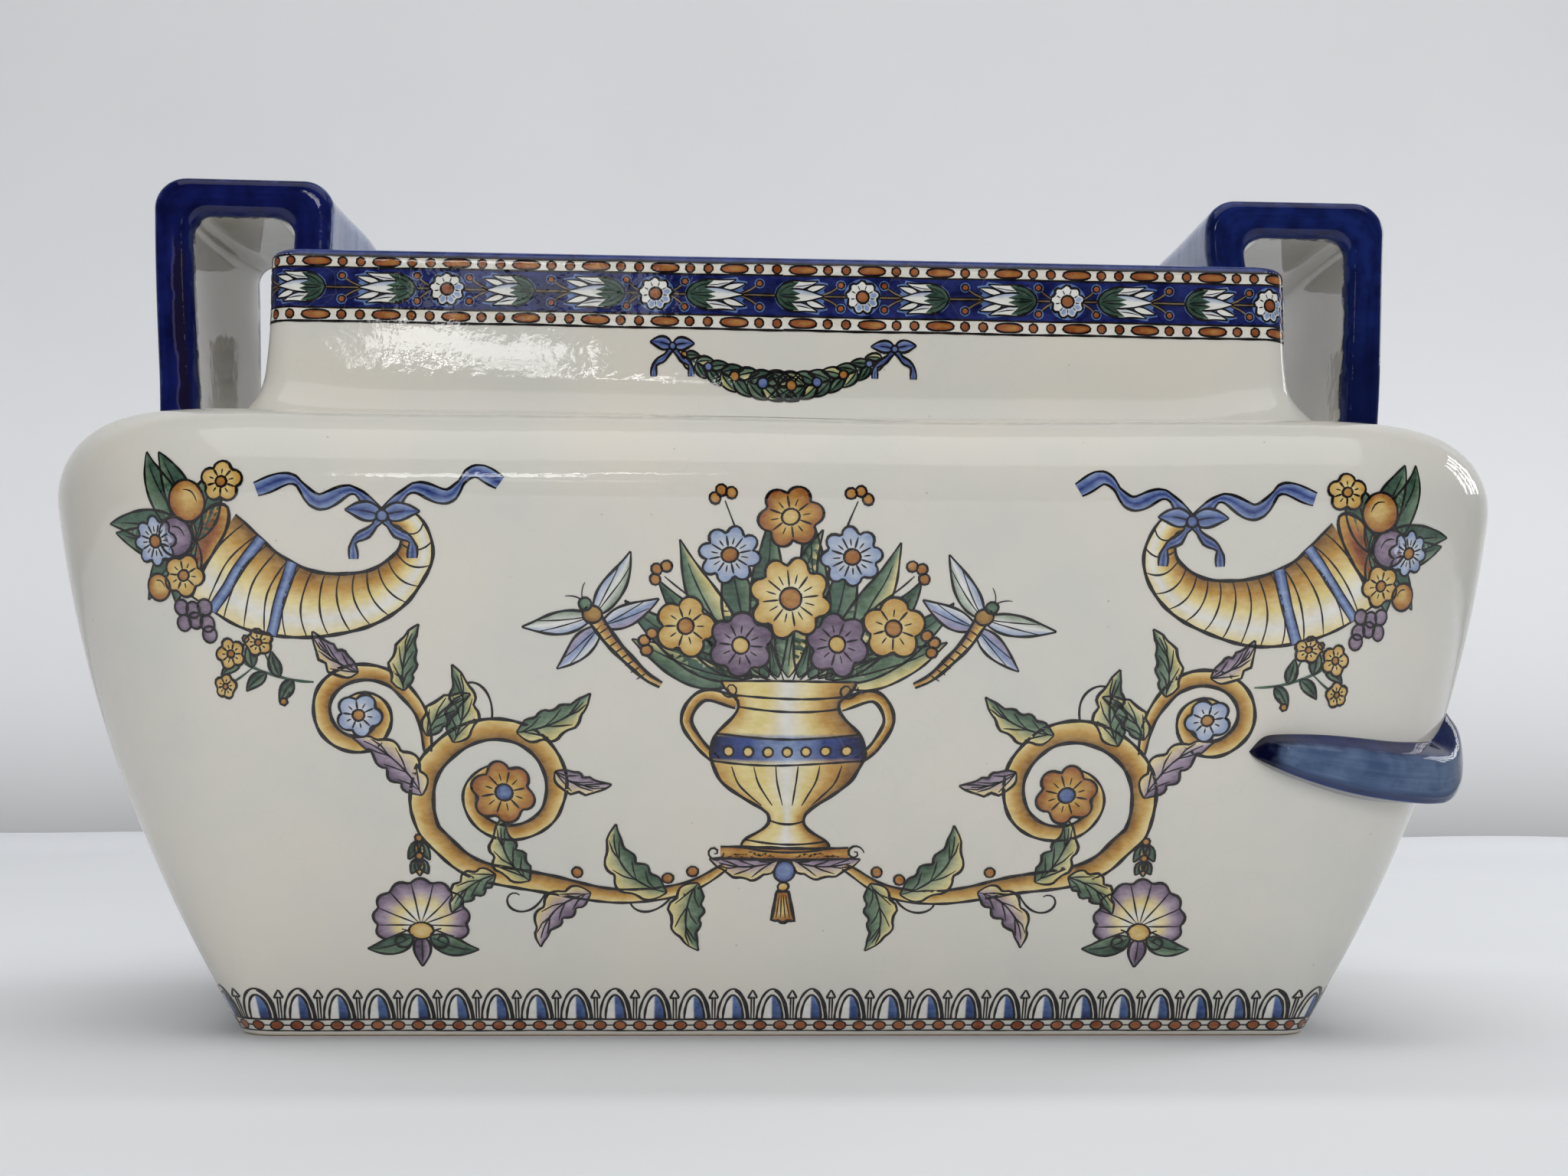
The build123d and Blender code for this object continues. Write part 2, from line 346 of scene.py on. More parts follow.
def strapSection(width, roundness):
    # closed outline of the strap's cut end, as share of the thickness and place across: four quarter rounds
    across = width / 2
    rt = roundness / handle["thickness"]
    inner = linePoints((0, -across + roundness), (0, across - roundness), 21)
    outerEdge = inner[::-1] + np.array([1, 0])
    quarter = np.linspace(0, math.pi / 2, 6)[1:-1]
    sideUp = np.stack([rt - rt * np.cos(quarter), across - roundness + roundness * np.sin(quarter)], -1)
    flatUp = linePoints((rt, across), (1 - rt, across), 6)
    outUp = np.stack([1 - rt + rt * np.sin(quarter), across - roundness + roundness * np.cos(quarter)], -1)
    half = np.concatenate([sideUp, flatUp, outUp])
    other = half[::-1] * (1, -1)
    return np.concatenate([inner, half, outerEdge, other])


def makeHandle(name, side, node):
    # strap section carried along the loop, each point between the inner and the outer line by its depth; then
    # smooth steps of its place spread, twist, lean and drop the loop, and slow sines make it uneven
    outerPath = roundedLine(handle["outerLine"], handle["outerRound"], handle["steps"])
    innerPath = roundedLine(handle["innerLine"], handle["innerRound"], handle["steps"])
    section = strapSection(handle["width"], handle["edgeRound"])
    depth, across = section[:, 0], section[:, 1]
    line = innerPath[:, None] + (outerPath - innerPath)[:, None] * depth[None, :, None]
    along = lengthAlong((innerPath + outerPath) / 2)
    x, z = line[..., 0], line[..., 1]
    y = np.broadcast_to(across, x.shape)
    wave = handle["unevenness"] * np.sin(along[:, None] / 13 + side + y / 29)
    wave = wave * smooth(*handle["rootZone"], along)[:, None]
    outward = smooth(*handle["outZone"], x)
    far = smooth(*handle["backZone"], y)
    x = x + wave * 0.7 - 0.25 + outward * (handle["spread"][side] - handle["twist"][side] * far)
    leaning = 0.45 + 0.55 * smooth(*handle["topZone"], z)
    x = x - (1 - outward) * (handle["inward"][side] * leaning + handle["skew"][side] * far)
    rise = smooth(*handle["riseZone"], z)
    ripple = 1 + np.sin(y / 15 + side * 2 + along[:, None] / 21)
    z = z - rise * (handle["drop"][side] + handle["unevenness"] * 0.6 * ripple)
    points = np.stack([side * x, y * (1 - 0.006 * np.sin(along / 17 + 1)[:, None]), z], -1)
    piece = closedTube(name, points, handle["crease"], flipped=side > 0)
    acrossShare = np.abs(y) / (handle["width"] / 2)
    place = np.stack(np.broadcast_arrays(depth, acrossShare, along[:, None]), -1)
    pointValues(piece, "strapPlace", place.reshape(-1, 3))
    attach(piece, "root")
    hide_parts(node)
    return piece


# pointed strap ends lapped round two corners
strapEnd = {
    "tip": 108.6, "end": 239.4, "tipHeight": 70.6, "crest": 4.0, "settle": 1.3, "drop": 12.0, "foldRise": 7.1,
    "foldFrom": 66, "foldTo": 86, "topBevel": (0.27, 0.45), "edgeRound": (1.1, 3.2), "crispness": (6.0, 3.0),
    "faceInset": 7.0, "standOut": 7.3, "bluntness": 9.0, "steps": 130, "rounding": 7.0, "seat": 2.6,
    "snub": 0.9, "slant": 3.2, "heelRise": 9.0, "heelFrom": 58, "heelTo": 92, "clear": 0.45, "crease": 75,
    "settleFrom": 8, "settleTo": 50, "wideningLength": 17, "snubLength": 0.8,
}


def makeStrapEnd(name, turned, node):
    # along the plan: edges that spread from the tip; across it: upper bevel and upright face as a soft least
    # of two slopes that lifts the strip off the wall, a lower edge rolled under as a quarter round, and a
    # sunk back
    g = strapEnd
    s = g["tip"] + (g["end"] - g["tip"]) * np.linspace(0, 1, g["steps"]) ** 1.4
    onward = (s - g["tip"])[:, None]
    fold = smooth(g["foldFrom"], g["foldTo"], onward)
    slanted = (1 + (g["slant"] / np.maximum(onward, 1e-3)) ** 4) ** -0.25
    settled = g["settle"] * smooth(g["settleFrom"], g["settleTo"], onward)
    top = g["tipHeight"] + g["crest"] * slanted - settled + g["foldRise"] * fold
    widening = np.minimum(1, 1.05 * (1 - np.exp(-onward / g["wideningLength"])))
    snubbed = g["snub"] * (1 - np.exp(-onward / g["snubLength"]))
    bottom = g["tipHeight"] - snubbed - (g["drop"] - g["snub"]) * widening
    bottom = bottom + g["heelRise"] * smooth(g["heelFrom"], g["heelTo"], onward)
    zone = np.concatenate([np.linspace(0, 1, 11), np.linspace(1, 2, 13)[1:], np.linspace(2, 3, 11)[1:]])[None]
    topShare, edge, crisp = (a + (b - a) * fold for a, b in (g["topBevel"], g["edgeRound"], g["crispness"]))
    edge = edge * np.minimum(1, (top - bottom) / 9)
    down = np.where(zone < 1, topShare * zone, np.minimum(topShare + (1 - topShare) * (zone - 1), 1))
    under = np.clip(zone - 2, 0, 1)
    lift = (1 + np.maximum(down / topShare, 1e-3) ** -crisp) ** (-1 / crisp) * (1 - under ** 2)
    rolled = np.sqrt(1 - (1 - np.clip(under / 0.35, 0, 1)) ** 2)
    z = top + (bottom + edge - top) * down - edge * rolled
    wallInset = np.interp(z, outer[:wallRows, 1], outer[:wallRows, 0])
    face = g["faceInset"] + g["standOut"] * (1 - np.clip(onward / g["bluntness"], 0, 1)) ** 2
    toEnd = np.clip((onward - onward[-1] + g["rounding"]) / g["rounding"], 0, 1)
    inset = wallInset - np.maximum(wallInset - face, 0.15) * lift * np.sqrt(1 - 0.999 * toEnd ** 2)
    behind = wallInset[:, [0, -1]] + g["seat"]
    inset = np.concatenate([behind[:, :1], inset, behind[:, 1:]], 1)
    z = np.concatenate([z[:, :1], z, z[:, -1:]], 1)
    x, y = onPlan(s[:, None] * np.ones_like(z), inset + g["clear"], 0.0)
    sign = -1 if turned else 1
    points = np.stack([sign * x, sign * y, z + 0.25 * np.sin(onward / 11)], -1)
    piece = closedTube(name, points, g["crease"], flipped=True)
    zone = np.concatenate([[0], zone[0], [3]])
    place = np.stack(np.broadcast_arrays(zone[None], onward, z), -1)
    pointValues(piece, "strapPlace", place.reshape(-1, 3))
    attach(piece, "root")
    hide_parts(node)
    return piece


# flat drawings in mm, later laid on the pot: the paint box, sets of paints for one form, then brush strokes
paint = {
    "ink": srgb(16, 14, 15), "ochre": srgb(186, 140, 60), "straw": srgb(222, 204, 138),
    "rust": srgb(138, 74, 40), "brown": srgb(106, 72, 40), "green": srgb(52, 78, 62),
    "sage": srgb(106, 130, 102), "cobalt": srgb(36, 54, 118), "steel": srgb(84, 110, 160),
    "royal": srgb(18, 27, 86), "slate": srgb(54, 80, 134), "twig": srgb(112, 95, 72),
    "pine": srgb(36, 58, 47), "navy": srgb(13, 18, 60), "sky": srgb(128, 149, 186),
    "plum": srgb(88, 70, 94), "lilac": srgb(160, 142, 160), "white": srgb(220, 219, 213),
    "cream": srgb(214, 209, 194),
}
greens, warmGreens = ("sage", "green", "green"), ("straw", "sage", "green")
golds, rusts, ambers = ("straw", "ochre"), ("ochre", "rust"), ("straw", "ochre", "rust")
gilding, stems, halo = ("straw", "ochre", "brown"), ("brown", "twig", "twig"), ("steel", "steel")
blues, blueBead, paleBlues = ("sky", "cobalt", "sky"), ("sky", "cobalt"), ("white", "sky")
purples, warmPurples = ("lilac", "plum"), ("straw", "lilac", "plum")
lineWeight = 0.84
firstCoat, layerStep = 0.05, 0.02  # mm from the skin to the lowest coat, and from one coat to the next


def newSheet():
    # an empty drawing: lists of arrays of points, colours, lifts and faces, and the number of points
    return {"xy": [], "tint": [], "lift": [], "quads": [], "tris": [], "count": 0}


def unit(angle):
    # cosine and sine of an angle
    return np.array([math.cos(angle), math.sin(angle)])


def slopeAngle(start, end):
    # angle of the line from one point to another
    return math.atan2(end[1] - start[1], end[0] - start[0])


def levelLine(x, y):
    # points at the given lengths, all at one height
    return np.stack(np.broadcast_arrays(x, y), -1)


def layGrid(sheet, xy, tint, level, closed=False, centre=None):
    # rows x columns of points become quads; a centre point closes the first row with triangles; the tint is
    # one colour, one for each row or one for each point
    rows, cols = xy.shape[:2]
    tint = np.broadcast_to(tint, (rows, cols, 3))
    sheet["quads"].append(gridQuads(rows, cols, closed, sheet["count"]))
    parts, tints = [xy.reshape(-1, 2)], [tint.reshape(-1, 3)]
    if centre is not None:
        ring = sheet["count"] + np.arange(cols)
        hub = np.full(cols, sheet["count"] + rows * cols)
        sheet["tris"].append(np.stack([hub, ring, np.roll(ring, -1)], -1))
        parts.append(np.array([centre])), tints.append(tint[:1, 0])
    xy = np.concatenate(parts)
    sheet["xy"].append(xy)
    sheet["tint"].append(np.concatenate(tints))
    sheet["lift"].append(np.full(len(xy), firstCoat + layerStep * level))
    sheet["count"] += len(xy)


def spaced(path, step=1.1, least=6):
    # the same path with evenly spaced points
    path = np.asarray(path, float)
    run = lengthAlong(path)
    count = max(least, int(run[-1] / step) + 1)
    at = np.linspace(0, run[-1], count)
    return np.stack([np.interp(at, run, path[:, 0]), np.interp(at, run, path[:, 1])], -1)


def flowing(points, perSpan=10):
    # smooth curve through a few points: each span is a cubic whose slopes come from the neighbours
    p = np.asarray(points, float)
    p = np.concatenate([2 * p[:1] - p[1:2], p, 2 * p[-1:] - p[-2:-1]])
    u = np.linspace(0, 1, perSpan, endpoint=False)[None, :, None]
    a, b, c, d = (p[i:len(p) - 3 + i, None] for i in range(4))
    square, cube = 2 * a - 5 * b + 4 * c - d, 3 * b - a - 3 * c + d
    curve = 0.5 * (2 * b + (c - a) * u + square * u ** 2 + cube * u ** 3)
    return np.concatenate([curve.reshape(-1, 2), p[-2:-1]])


def sideways(path):
    # unit normals to the left of a path
    t = np.gradient(path, axis=0)
    t /= np.linalg.norm(t, axis=1, keepdims=True) + 1e-9
    return np.stack([-t[:, 1], t[:, 0]], -1)


def stroke(sheet, path, width=None, tint="ink", level=6, taper=0.55, step=0.9):
    # brush line: a ribbon whose width swells in the middle and wavers a little
    path = spaced(path, step)
    n = len(path)
    share = np.linspace(-1, 1, n)
    waver = 1 + 0.16 * np.sin(np.arange(n) * 0.9 + rng.uniform(0, 6))
    half = (lineWeight if width is None else width) / 2 * (1 - taper * np.abs(share) ** 3) * waver
    across = sideways(path) * half[:, None]
    layGrid(sheet, np.stack([path - across, path + across]), paint[tint], level)


def ramp(names, share):
    # colours blended evenly through a list of paints
    stops = np.array([paint[n] for n in names])
    at = np.clip(share, 0, 1) * (len(stops) - 1)
    return np.stack([np.interp(at, np.arange(len(stops)), stops[:, i]) for i in range(3)], -1)


def band(sheet, path, half, tints, level=2, weight=None):
    # strip carried along a path: five points across, coloured from one edge to the other, both edges drawn
    path = spaced(path, 1.3, 8)
    share = np.linspace(0, 1, len(path))
    half = half(share) if callable(half) else np.full(len(path), float(half))
    across = np.linspace(-1, 1, 5)
    xy = path[None] + sideways(path)[None] * half[None, :, None] * across[:, None, None]
    layGrid(sheet, xy, ramp(tints, (across[:, None] + 1) / 2), level)
    for edge in (0, -1):
        stroke(sheet, xy[edge], weight, level=level + 1, taper=0.4)
    return path, half


def blob(sheet, outline, tints, level=2, outlined=True, centre=None, weight=None):
    # filled outline: rings shrinking to a centre, coloured from the middle outwards
    outline = np.asarray(outline, float)
    centre = outline.mean(0) if centre is None else np.asarray(centre, float)
    size = np.linalg.norm(outline - centre, axis=1).max()
    rings = max(2, int(size / 2.2) + 1)
    share = np.arange(1, rings + 1) / rings
    xy = centre + (outline - centre)[None] * share[:, None, None]
    layGrid(sheet, xy, ramp(tints, share[:, None]), level, closed=True, centre=centre)
    if outlined:
        stroke(sheet, np.concatenate([outline, outline[:2]]), weight, level=level + 1, taper=0.1)


def roundOutline(centre, rx, ry=None, count=18, tilt=0.0):
    # ellipse points
    a = np.linspace(0, 2 * math.pi, count, endpoint=False)
    x, y = rx * np.cos(a), (rx if ry is None else ry) * np.sin(a)
    c, s = math.cos(tilt), math.sin(tilt)
    return np.stack([centre[0] + c * x - s * y, centre[1] + s * x + c * y], -1)


def bead(sheet, centre, rx, ry=None, tints=rusts, level=3, weight=0.55, count=14):
    # small round berry or bead: a filled ellipse whose lightest point is off its centre
    lit = np.array(centre) + (-0.25 * rx, 0.25 * rx)
    blob(sheet, roundOutline(centre, rx, ry, count), tints, level, centre=lit, weight=weight)


def bendLine(base, angle, length, bend, count=14):
    # a line that leaves at an angle and turns evenly by bend: running sums of cosines and sines
    a = angle + bend * np.linspace(0, 1, count)
    step = length / (count - 1)
    x = np.concatenate([[0], np.cumsum(np.cos(a[:-1]) * step)])
    y = np.concatenate([[0], np.cumsum(np.sin(a[:-1]) * step)])
    return np.stack([base[0] + x, base[1] + y], -1)


def leaf(sheet, base, angle, length, width, bend=0.6, tints=greens, level=2, vein=True):
    # almond leaf: widest a third of the way along, both edges drawn, one vein
    path = bendLine(base, angle, length, bend)
    band(sheet, path, lambda u: width / 2 * np.sin(math.pi * u ** 0.75) + 0.05, tints, level, weight=0.62)
    if vein:
        stroke(sheet, path[1:-2], 0.42, level=level + 1)


def acanthus(sheet, base, angle, length, width, bend=1.0, tints=warmGreens, level=2, lobes=4):
    # curling leaf with a lobed edge, a middle vein and a pair of side veins for each lobe
    def shape(u):
        # half width: a sine of the eased share along the leaf times a run of round lobes
        lobed = 0.62 + 0.38 * np.abs(np.sin(lobes * math.pi * u))
        return width / 2 * np.sin(math.pi * np.clip(u, 0, 1) ** 0.7) * lobed + 0.05
    mid, half = band(sheet, bendLine(base, angle, length, bend), shape, tints, level, weight=0.68)
    stroke(sheet, mid[:-2], 0.5, level=level + 1)
    across = sideways(mid) * half[:, None]
    for k in range(1, lobes):
        i = int(len(mid) * k / lobes * 0.92)
        j = min(len(mid) - 1, i + 2)
        for sign in (-1, 1):
            vein = [mid[max(i - 2, 0)], mid[i] + across[i] * sign * 0.35, mid[j] + across[j] * sign * 0.72]
            stroke(sheet, vein, 0.4, level=level + 1)


def blossom(sheet, centre, radius, petals=5, tints=golds, heart=rusts, level=3, turn=0.0, depth=0.3,
            ticks=True, heartSize=0.27):
    # open flower: petals as a waved circle, a line between each pair, a round heart
    a = np.linspace(0, 2 * math.pi, petals * 8, endpoint=False)
    r = radius * (1 - depth + depth * np.abs(np.cos((a - turn) * petals / 2)) ** 0.7)
    c = np.asarray(centre, float)
    blob(sheet, c + np.stack([r * np.cos(a), r * np.sin(a)], -1), tints, level, centre=c, weight=0.66)
    for k in range(petals if ticks else 0):
        b = turn + (k + 0.5) * 2 * math.pi / petals
        for onward, low, high, weight in ((0, 0.3, 0.68, 0.5), (math.pi / petals, 0.36, 0.6, 0.34)):
            d = unit(b + onward) * radius
            stroke(sheet, [c + d * low, c + d * high], weight, level=level + 1)
    bead(sheet, c, radius * heartSize, tints=heart, level=level + 2, count=12)


def spiralLine(centre, outerRadius, innerRadius, start, turns):
    # radius shrinking evenly with the angle
    u = np.linspace(0, 1, int(abs(turns) * 40) + 8)
    a = start + 2 * math.pi * turns * u
    r = outerRadius + (innerRadius - outerRadius) * u ** 0.85
    return np.stack([centre[0] + r * np.cos(a), centre[1] + r * np.sin(a)], -1)


def tendril(sheet, base, angle, length, bend, bendMore, level=2, count=40):
    # thin curl that tightens towards its end: the angle turns by a straight and a cubic part
    u = np.linspace(0, 1, count)
    a = angle + bend * u + bendMore * u ** 3
    step = length / (count - 1)
    path = np.array(base) + np.stack([np.cumsum(np.cos(a) * step), np.cumsum(np.sin(a) * step)], -1)
    stroke(sheet, path, 0.6, level=level, taper=0.6)


def wavyRibbon(sheet, points, width, tints, level=2):
    # ribbon that narrows and turns over as it goes
    def half(u):
        # half width: a fixed part and a part that swings as a cosine
        return width / 2 * (0.35 + 0.65 * np.abs(np.cos(u * math.pi * 2.2)))
    band(sheet, flowing(points), half, tints, level, weight=0.62)


def bow(sheet, centre, size, level=4):
    # two loops, two tails and a knot
    c = np.asarray(centre, float)
    for sign in (-1, 1):
        a = 0.35 if sign > 0 else math.pi - 0.35
        leaf(sheet, c, a, size, size * 0.5, -0.5 * sign, blues, level, vein=False)
        stroke(sheet, bendLine(c, a, size * 0.6, -0.3 * sign), 0.35, level=level + 1)
        tail = c + size * np.array([(0, 0), (sign * 0.35, -0.45), (sign * 0.75, -0.7), (sign * 0.8, -1.2)])
        wavyRibbon(sheet, tail, size * 0.26, blues, level - 1)
    bead(sheet, c, size * 0.16, tints=blueBead, level=level + 2)


def urn(sheet, foot=52.0):
    # footed vase: half width as a smooth curve of the height, shaded across, with flutes and bands
    keys = np.array([
        (0, 10), (2, 11), (3.2, 7), (6, 3.6), (9, 4.2), (12, 9), (17, 15.5), (23, 18.2), (28, 17.2),
        (33, 12.5), (36, 11), (38, 13), (40, 15.5), (41.5, 15.5),
    ])
    h = np.linspace(0, 41.5, 34)
    half = np.interp(h, keys[:, 0], keys[:, 1])
    half = np.convolve(np.pad(half, 1, mode="edge"), [0.25, 0.5, 0.25], "valid")
    across = np.linspace(-1, 1, 17)
    xy = np.stack([across[:, None] * half[None], np.broadcast_to(foot + h, (17, 34))], -1)
    share = (across[:, None] + 1) / 2
    gilt = ramp(("ochre", "straw", "straw", "white", "straw", "ochre", "brown"), share)
    blue = ramp(("navy", "cobalt", "sky", "cobalt", "navy"), share)
    layGrid(sheet, xy, np.where(((h > 22) & (h < 28.5))[None, :, None], blue, gilt), 3)
    for edge in (0, -1):
        stroke(sheet, xy[edge], 0.8, level=5, taper=0.2)
    for at in (0, 2, 7, 22, 28.5, 35, 38, 41.5):  # rings, which droop towards the viewer
        w = np.interp(at, h, half)
        x = np.linspace(-w, w, 16)
        droop = 1.6 * (1 - (x / w) ** 2) * (0.6 if at < 40 else 0.2)
        stroke(sheet, np.stack([x, foot + at - droop], -1), 0.55, level=5, taper=0.1)
    bowl = (h > 10.5) & (h < 21.5)
    for k in (-0.75, -0.45, -0.15, 0.15, 0.45, 0.75):  # flutes of the bowl
        stroke(sheet, np.stack([k * half[bowl], foot + h[bowl] - 0.6], -1), 0.45, level=5)
    for k in range(-3, 4):  # beads on the blue belt
        bead(sheet, (k * 4.6, foot + 24.4), 1.25, tints=golds, level=6)
    for sign in (-1, 1):  # scrolled ears
        ear = [(sign * x, foot + y) for x, y in ((12, 36), (20, 38), (23.5, 32), (20.5, 26), (16.5, 22))]
        band(sheet, flowing(ear), lambda u: 1.5 - 0.6 * u, gilding, 2)
        curl = spiralLine((sign * 13.4, foot + 39.4), 2.6, 0.5, math.pi / 2 - sign * 1.2, -1.2 * sign)
        stroke(sheet, curl, 0.5, level=6)


def bouquet(sheet, top=93.0):
    # leaves fanned out behind, then flowers from the outside in
    for k, a in enumerate(np.linspace(0.12, math.pi - 0.12, 13)):
        reach = 27 + 9 * math.sin(a) + (4 if k % 2 else 0)
        bend, tints = (0.45 if a < 1.5 else -0.45), (greens if k % 3 else warmGreens)
        leaf(sheet, (10 * math.cos(a), top + 1), a, reach, 8.2, bend, tints, 1)
    for a, r in ((0.3, 31), (0.75, 37), (1.25, 45), (1.9, 45), (2.4, 37), (2.85, 31)):
        end = np.array([r * math.cos(a) * 1.05, top + r * math.sin(a)])
        middle = end * 0.6 + (0, top * 0.4)
        stroke(sheet, flowing([(3 * math.cos(a), top), middle, end]), 0.6, level=3)
        for d in (-0.35, 0, 0.35):
            bead(sheet, end + 2.4 * unit(a + d * 3), 1.35, level=4)
    flowers = (
        (-24, 13, 7.2, 5, golds, rusts), (24, 13, 7.2, 5, golds, rusts), (-14, 30, 7.0, 8, paleBlues, rusts),
        (14, 30, 7.0, 8, paleBlues, rusts), (0, 39, 7.6, 6, ambers, golds), (-11, 9, 7.6, 6, purples, golds),
        (11, 9, 7.6, 6, purples, golds), (0, 20, 9.6, 8, ("white", "straw", "ochre"), rusts),
    )
    for k, (x, y, r, n, tints, heart) in enumerate(flowers):
        blossom(sheet, (x, top + y), r, n, tints, heart, 5 + (k % 2) * 3 + (3 if k == 7 else 0), turn=0.3 * k)


def bracket(sheet, top=52.0):
    # small scrolled shelf under the urn with a tassel
    band(sheet, levelLine(np.linspace(-15, 15, 16), top - 1.4), 1.5, ("rust", "ochre", "rust"), 3)
    for sign, tints in ((-1, warmPurples[::-1]), (1, warmPurples)):
        acanthus(sheet, (sign * 1.5, top - 3), -math.pi / 2 + sign * 1.15, 17, 7.5, sign * 0.9, tints, 2)
        stroke(sheet, spiralLine((sign * 16.5, top - 1.4), 2.4, 0.4, 0, 1.3 * sign), 0.6, level=6)
    bead(sheet, (0, top - 6), 2.4, 2.9, blueBead, 4)
    bead(sheet, (0, top - 10.2), 1.3, tints=golds, level=4)
    tassel = np.array([
        (-1.4, 0), (1.4, 0), (2.1, -4), (2.9, -8.6), (1.4, -8.1), (0, -9.2), (-1.4, -8.1), (-2.9, -8.6),
        (-2.1, -4),
    ]) + (0, top - 11.4)
    blob(sheet, spaced(np.concatenate([tassel, tassel[:1]]), 1.0)[:-1], ambers, 3)
    for k in (-1.2, -0.4, 0.4, 1.2):
        stroke(sheet, [(k * 0.6, top - 12.6), (k * 1.4, top - 19)], 0.32, level=5)


def sprout(sheet, path, share, turn, length, width, bend, tints, level=4):
    # lobed leaf that grows from a point of a stem, at an angle to it
    i = int(share * (len(path) - 2))
    acanthus(sheet, path[i], slopeAngle(path[i], path[i + 1]) + turn, length, width, bend, tints, level)


def rinceau(sheet):
    # right half of the scrollwork: a stem from the bracket into two spirals, with curling leaves
    def stout(u):
        # half width of the main stem: a power of a sine of the share along it
        return 0.8 + 1.9 * np.sin(math.pi * np.clip(u * 1.02, 0, 1)) ** 0.7

    def slender(u):
        # half width of the upper stem, in the same way
        return 0.7 + 1.3 * np.sin(math.pi * u) ** 0.7
    stem = flowing([(14, 47), (24, 41), (38, 39), (54, 42), (72, 46), (83, 55.5)])[:-1]
    stem = np.concatenate([stem, spiralLine((66, 66), 20, 3.2, -0.55, 1.55)])
    path = band(sheet, stem, stout, gilding, 3)[0]
    upper = flowing([(83, 76), (84.5, 85), (90, 92.6)])[:-1]
    upper = np.concatenate([upper, spiralLine((98.4, 84.5), 11.6, 2.2, 2.35, -1.5)])
    small = band(sheet, upper, slender, gilding[::-1], 3)[0]
    blossom(sheet, (66, 66), 7.6, 6, ambers, blueBead, 6, 0.3)
    blossom(sheet, (98.4, 84.5), 5.4, 5, paleBlues, rusts, 6, 0.8)
    greenBack, purpleBack = warmGreens[::-1], warmPurples[::-1]
    for share, turn, length, width, bend, tints in (
        (0.05, -0.5, 20, 8.5, -1.3, greenBack), (0.09, 0.45, 24, 9.5, 1.6, warmGreens),
        (0.19, -0.45, 21, 8.5, -1.5, purpleBack), (0.27, 0.5, 19, 8, 1.2, warmGreens),
        (0.315, -0.5, 16, 8, -1.1, greenBack), (0.47, -0.45, 22, 9, -1.0, purpleBack),
        (0.56, -0.5, 19, 8, -1.0, greenBack), (0.645, -0.5, 20, 8, -0.9, greenBack),
        (0.715, -0.6, 14, 6, -1.0, purpleBack),
    ):
        sprout(sheet, path, share, turn, length, width, bend, tints)
    for share, length, tints in ((0.06, 15, warmGreens), (0.2, 17, warmGreens), (0.36, 14, warmPurples)):
        sprout(sheet, small, share, 0.5, length, 6.5, 0.9, tints)
    for base, angle in (((26, 40.6), -1.2), ((56, 42.2), -1.4)):
        tendril(sheet, base, angle, 19, 1.6, 3.6)
    tendril(sheet, path[int(len(path) * 0.6)], 1.9, 20, -1.2, -3.8)
    for berry in ((22, 45.6), (27.6, 43.8), (49, 45.6)):
        bead(sheet, berry, 1.35, level=7)


def cornucopia(sheet):
    # horn of plenty: a tapering curl with bands, flowers and fruit at its mouth
    horn = flowing([(132, 122), (121, 114), (108, 110.5), (94, 113), (85.5, 121), (86.5, 130), (94, 131.5)])
    tints = ("brown", "ochre", "straw", "white", "straw")
    path, half = band(sheet, horn, lambda u: 10.5 * (1 - u) ** 0.85 + 0.9, tints, 4)
    across = sideways(path) * half[:, None]
    sweep = np.linspace(-1, 1, 9)[:, None]
    for k in range(2, len(path) - 6, 3):  # ribs, bowed towards the tip
        rib = path[k] + across[k] * sweep - (path[k + 1] - path[k]) * (1 - sweep ** 2) * 1.4
        stroke(sheet, rib, 0.42, level=6, taper=0.5)
    for k in (6, 15):
        band(sheet, path[k] + across[k] * sweep, 1.2, ("cobalt", "sky", "cobalt"), 6, weight=0.4)
    blob(sheet, roundOutline((134.6, 124.2), 4.2, 11.6, 22, 0.68), ("brown", "rust", "ochre"), 6)
    fan = ((-0.55, 20), (-0.1, 23), (0.35, 25), (0.8, 25), (1.3, 23), (1.8, 19), (-0.95, 16))
    for k, (a, r) in enumerate(fan):
        leaf(sheet, (135, 125), a, r, 7.5, 0.4 if k % 2 else -0.4, level=6)
    for x, y, r, petals, tints in (
        (139, 117, 5.2, 5, golds), (146, 125, 5.6, 8, paleBlues), (137, 134, 5.6, 0, ambers),
        (128.5, 138.5, 4.6, 5, golds), (146, 114.5, 4.0, 0, ambers), (140.5, 126, 5.4, 0, purples),
    ):
        if petals:
            blossom(sheet, (x, y), r, petals, tints, level=9, turn=x)
        else:  # fruit with a line for its shine
            bead(sheet, (x, y), r * 0.82, tints=tints, level=9, weight=0.6, count=20)
            stroke(sheet, roundOutline((x, y), r * 0.45, count=10)[2:6], 0.35, level=11)
    for k in range(7):  # bunch of grapes hanging from the mouth
        grape = (134 + (k % 3) * 3.1 - (k // 3) * 0.4, 109.5 - (k // 3) * 3.0 - 0.6 * (k % 2))
        bead(sheet, grape, 1.9, tints=purples, level=8)
    wavyRibbon(sheet, [(93, 131), (99, 137), (107, 134), (113, 139.5), (121, 137)], 3.6, blues, 3)
    wavyRibbon(sheet, [(92, 131), (86, 138), (78, 136), (72, 142), (66, 139)], 3.6, blues, 3)
    bow(sheet, (92.5, 131.5), 8.5, level=7)


